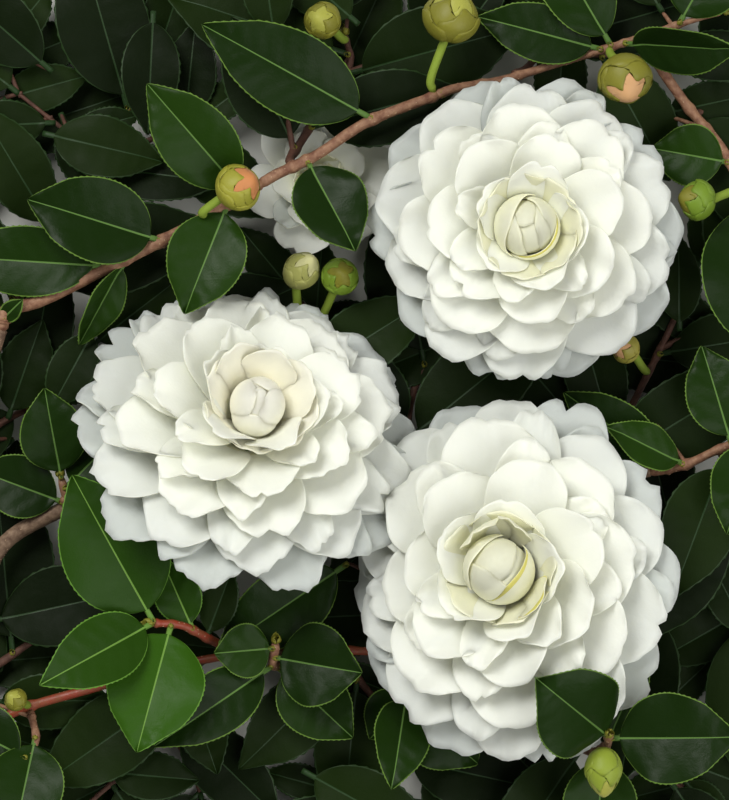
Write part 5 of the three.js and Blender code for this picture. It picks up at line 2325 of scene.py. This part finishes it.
@dataclass
class BudMaker:
    """Makes flower buds with their stalks, the small leaf buds, and the sepal cups."""

    limbs: LimbMaker
    scales: ScaleMaker = field(default_factory=ScaleMaker)

    def __post_init__(self) -> None:
        """Makes the scale shapes: each round's count and size, from the innermost out."""
        self.rounds = [
            (3, 0.94, self.scales.scale(1.5, 0.999)),
            (3, 0.97, self.scales.scale(1.25, 0.86, 0.9)),
            (3, 1.0, self.scales.scale(1.2, 0.62, 2.1)),
            (4, 1.03, self.scales.scale(1.1, 0.2, 0.4)),
        ]
        self.sepal = self.scales.scale(0.8, 0.25)
        self.small = ScaleMaker(rows=5, columns=3)
        self.small_scale = self.small.scale(1.2, 0.97)

    def bud(self, number: int, bud: Bud) -> Piece:
        """A flower bud on its stalk.

        Args:
            number: its number.
            bud: its place and size.

        Returns:
            The piece.
        """
        sheets = Sheets()
        size = np.array([bud.radius, bud.radius, bud.long / 2]) * 0.93
        inner, outer = BUD_LOOKS.get(number, (BUD_SCALE_PALE, BUD_SCALE))
        self.scales.core(sheets, 2, Stand(bud.middle, bud.axis, size))
        for i, (count, wide, shape) in enumerate(self.rounds):
            slot, finish = (0, outer) if i else (2, inner)
            stand = Stand(bud.middle, bud.axis, size * wide)
            self.scales.spiral(sheets, slot, finish, shape, count, (0.02, 1.0), stand)
        self.limbs.add(sheets, [bud.stalk], STALK_GREEN, 10, 0.7, 1)
        return sheets.make(f"flower_bud_{number}", [outer, STALK_GREEN, inner])

    def leaf_bud(self, sheets: Sheets, place: Numbers, axis: Numbers, long: float) -> None:
        """Adds a small pointed bud in a leaf's armpit or at a twig's tip.

        Args:
            sheets: the piece.
            place: its foot.
            axis: the direction that it points in.
            long: its length.
        """
        size = np.array([long * 0.3, long * 0.3, long / 2])
        stand = Stand(place + axis * long * 0.45, axis, size)
        self.small.spiral(sheets, 1, BUD_SCALE, self.small_scale, 4, (0.08, 0.55), stand)

    def cup(self, sheets: Sheets, bloom: Bloom) -> None:
        """Adds the sepals under a bloom.

        Args:
            sheets: the piece.
            bloom: the bloom.
        """
        middle = bloom.root + bloom.axis * 1.6 * bloom.size
        stand = Stand(middle, bloom.axis, np.array([9.2, 9.2, 6.4]) * bloom.size)
        self.scales.spiral(sheets, 1, SEPAL, self.sepal, 9, (0.1, 0.6), stand)


LEAF_GROUPS = {
    "upper": ("upper_spray_1", "upper_spray_2", "upper_spray_3"),
    "right": ("right_shoot", "right_spray"),
    "young": ("young_spray",),
    "left": ("lower_left_spray", "left_spray"),
    "lower": ("lower_mid_spray", "lower_centre_spray", "front_spray"),
    "upper_inner": tuple(f"fill_spray_{i}" for i in (1, 2, 3, 4, 13)),
    "right_inner": tuple(f"fill_spray_{i}" for i in (5, 6, 7, 8)),
    "lower_inner": tuple(f"fill_spray_{i}" for i in (9, 10, 11, 12, 14)),
}


class Branch:
    """The whole branch as pieces that ride on its body."""

    TIP_BUD, SIDE_BUD = 4.2, 2.6

    def __init__(self, growth: Growth) -> None:
        """Notes what has grown."""
        self.growth = growth
        self.limbs = LimbMaker()
        self.buds = BudMaker(self.limbs)

    def keep(self, piece: Piece, slot: str, *nodes: str) -> None:
        """Rides a piece on the body, and hides the nodes that it replaces.

        Args:
            piece: the piece.
            slot: not used.
            nodes: the nodes that it replaces.
        """
        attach(piece, "root")
        if nodes:
            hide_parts(*nodes)
        log.info("%s: %d faces", piece.name, len(piece.data.polygons))

    def make_limbs(self) -> None:
        """The stem, the boughs and the flower stalks."""
        looks = {
            "stem": (STEM_BARK, 28, 0.7, "bark"),
            "middle_bough": (STEM_BARK, 22, 0.8, "bark"),
            "lower_bough": (YOUNG_BARK, 22, 0.8, "young_bark"),
        }
        for name, (finish, sides, step, slot) in looks.items():
            sheets, limb = Sheets(), self.growth.limbs[name]
            slim = name == "lower_bough"
            self.limbs.add(sheets, [limb], finish, sides, step, dots=9.0, slim=slim)
            self.keep(sheets.make(f"{name}_bark", [finish, LENTICEL]), slot, name)
        for i, bloom in enumerate(self.growth.blooms):
            name, sheets = f"bloom_{i + 1}_stalk", Sheets()
            self.limbs.add(sheets, [self.growth.limbs[name]], STALK_GREEN, 14, 0.8)
            self.buds.cup(sheets, bloom)
            self.keep(sheets.make(f"bloom_{i + 1}_sepals", [STALK_GREEN, SEPAL]), "sepal", name)

    def make_blooms(self) -> None:
        """The blooms."""
        for i, bloom in enumerate(self.growth.blooms):
            maker = BloomMaker(i + 1, bloom)
            self.keep(maker.petals(), "petal", f"bloom_{i + 1}")
            self.keep(maker.heart(), "petal", f"bloom_{i + 1}")

    def make_buds(self) -> None:
        """The flower buds, and the small leaf buds of the outer sprays."""
        for i, bud in enumerate(self.growth.buds):
            self.keep(self.buds.bud(i + 1, bud), "bud", f"bud_{i + 1}")
        sheets = Sheets()
        for spray in self.growth.sprays:
            path = spray.limb.path
            self.buds.leaf_bud(sheets, path.point(1), path.tangent(1), self.TIP_BUD)
            for blade in spray.blades:
                axis = unit(blade.forward + UP * 0.9)
                self.buds.leaf_bud(sheets, blade.root + UP * 0.6, axis, self.SIDE_BUD)
        self.keep(sheets.make("leaf_buds", [STALK_GREEN, BUD_SCALE]), "bud")

    def make_sprays(self) -> None:
        """The leaves and twigs, each kind joined by part of the branch."""
        by_name = {spray.name: spray for spray in self.growth.sprays}
        for number, (part, names) in enumerate(LEAF_GROUPS.items()):
            sprays = [by_name[name] for name in names]
            slot = "young_leaf" if part == "young" else "leaf"
            finishes, leaves = self.leaves(sprays, LeafMaker(900 + number))
            self.keep(leaves.make(f"{part}_leaves", finishes), slot, *names)
            deep_painted_shade = sprays[0].tone == Tone.DEEP_PAINTED_SHADE
            # Filler twigs take the darker bark of painted shade.
            bark = PAINTED_SHADE_BARK if deep_painted_shade else YOUNG_BARK if part == "young" else TWIG_BARK
            sides, step, dots = (9, 1.2, 0.0) if deep_painted_shade else (16, 0.7, 7.0)
            mains = [spray.limb for spray in sprays]
            fine = [twig for spray in sprays for twig in spray.twigs]
            twigs, slim = Sheets(), part == "upper"
            self.limbs.add(twigs, mains, bark, sides, step, dots=dots, slim=slim)
            self.limbs.add(twigs, fine, bark, 7, 1.4)
            self.keep(twigs.make(f"{part}_twigs", [bark, LENTICEL]), slot, *names)

    def leaves(self, sprays: list[Spray], maker: LeafMaker) -> tuple[list[Finish], Sheets]:
        """The leaves of some sprays, tone by tone, with the finer growth in the darker greens of
        painted shade.

        Args:
            sprays: the sprays.
            maker: what makes them.

        Returns:
            The finishes and the leaves.
        """
        leaves, finishes = Sheets(), []
        for tone in dict.fromkeys([spray.tone for spray in sprays] + [Tone.DEEP_PAINTED_SHADE]):
            deep_painted_shade, base = tone == Tone.DEEP_PAINTED_SHADE, len(finishes)
            finishes += TONES[tone]
            for spray in sprays:
                for blade in spray.blades if spray.tone == tone else []:
                    maker.add(leaves, blade, FAR_LEAF if deep_painted_shade else NEAR_LEAF, base)
                for blade in spray.extra if deep_painted_shade else []:
                    maker.add(leaves, blade, FAR_LEAF, base)
        return finishes, leaves


@dataclass
class Studio:
    """The floor, the lights and the camera, in metres and watts."""

    camera_high: float = 1.6
    frame_long: float = 0.2032
    focus_high: float = 0.04
    sensor_wide: float = 36.0
    floor_half: float = 1.1
    floor_colour: Colour = (0.8, 0.8, 0.78)
    key: Row = (-0.6, 0.8, 1.3, 0.8, 22.0)
    key_tint: Colour = (1.0, 1.0, 0.96)
    fill: Row = (0.8, -0.4, 1.2, 1.3, 16.0)
    fill_tint: Colour = (1.0, 1.0, 0.97)
    surround: float = 0.17

    def floor(self) -> None:
        """The pale floor."""
        half = self.floor_half
        mesh = bpy.data.meshes.new("floor")
        corners = [(-half, -half, 0), (half, -half, 0), (half, half, 0), (-half, half, 0)]
        mesh.from_pydata(corners, [], [(0, 1, 2, 3)])
        mesh.materials.append(DYE.of(GroundFinish("floor_paint", self.floor_colour)))
        in_scene("floor", mesh)

    def light(self, name: str, given: Row, tint: Colour) -> None:
        """A soft square light aimed at the branch.

        Args:
            name: its name.
            given: where it hangs, its side and its power.
            tint: its colour.
        """
        data = bpy.data.lights.new(name, "AREA")
        data.shape, data.size, data.energy, data.color = "SQUARE", given[3], given[4], tint
        made = in_scene(name, data)
        made.location = given[:3]
        made.rotation_euler = made.location.to_track_quat("Z", "Y").to_euler()

    def lights(self) -> None:
        """A large key from the upper left, a fill from the right, and a pale surround."""
        self.light("key", self.key, self.key_tint)
        self.light("fill", self.fill, self.fill_tint)
        world = bpy.data.worlds.new("surround")
        world.use_nodes = True
        around = world.node_tree.nodes["Background"].inputs
        around["Color"].default_value = (1.0, 1.0, 0.98, 1)
        around["Strength"].default_value = self.surround
        bpy.context.scene.world = world

    def camera(self) -> None:
        """The camera, straight above the middle of the plan."""
        data = bpy.data.cameras.new("camera")
        data.sensor_width = self.sensor_wide
        data.lens = data.sensor_width * (self.camera_high - self.focus_high) / self.frame_long
        data.clip_start, data.clip_end = 0.05, 10.0
        made = in_scene("camera", data)
        middle = placed(np.zeros(3))
        made.location = (float(middle[0]), float(middle[1]), self.camera_high)
        bpy.context.scene.camera = made

    def make(self) -> None:
        """Everything round the branch."""
        bpy.context.scene.view_settings.view_transform = "Standard"
        self.floor()
        self.lights()
        self.camera()


def main() -> None:
    """Grows the branch, dresses it and sets it in the studio."""
    logging.basicConfig(level=logging.INFO, format="%(message)s")
    growth = Growth()
    settle(growth)
    finer = FinerGrowth(growth, 2024)
    log.info("large leaf grown: %s", finer.place_large())
    finer.run(500, 2)
    log.info("open cells left: %d", int(finer.cover.open.sum()))
    branch = Branch(growth)
    branch.make_limbs()
    branch.make_blooms()
    branch.make_buds()
    branch.make_sprays()
    Studio().make()


if __name__ == "__main__":
    main()
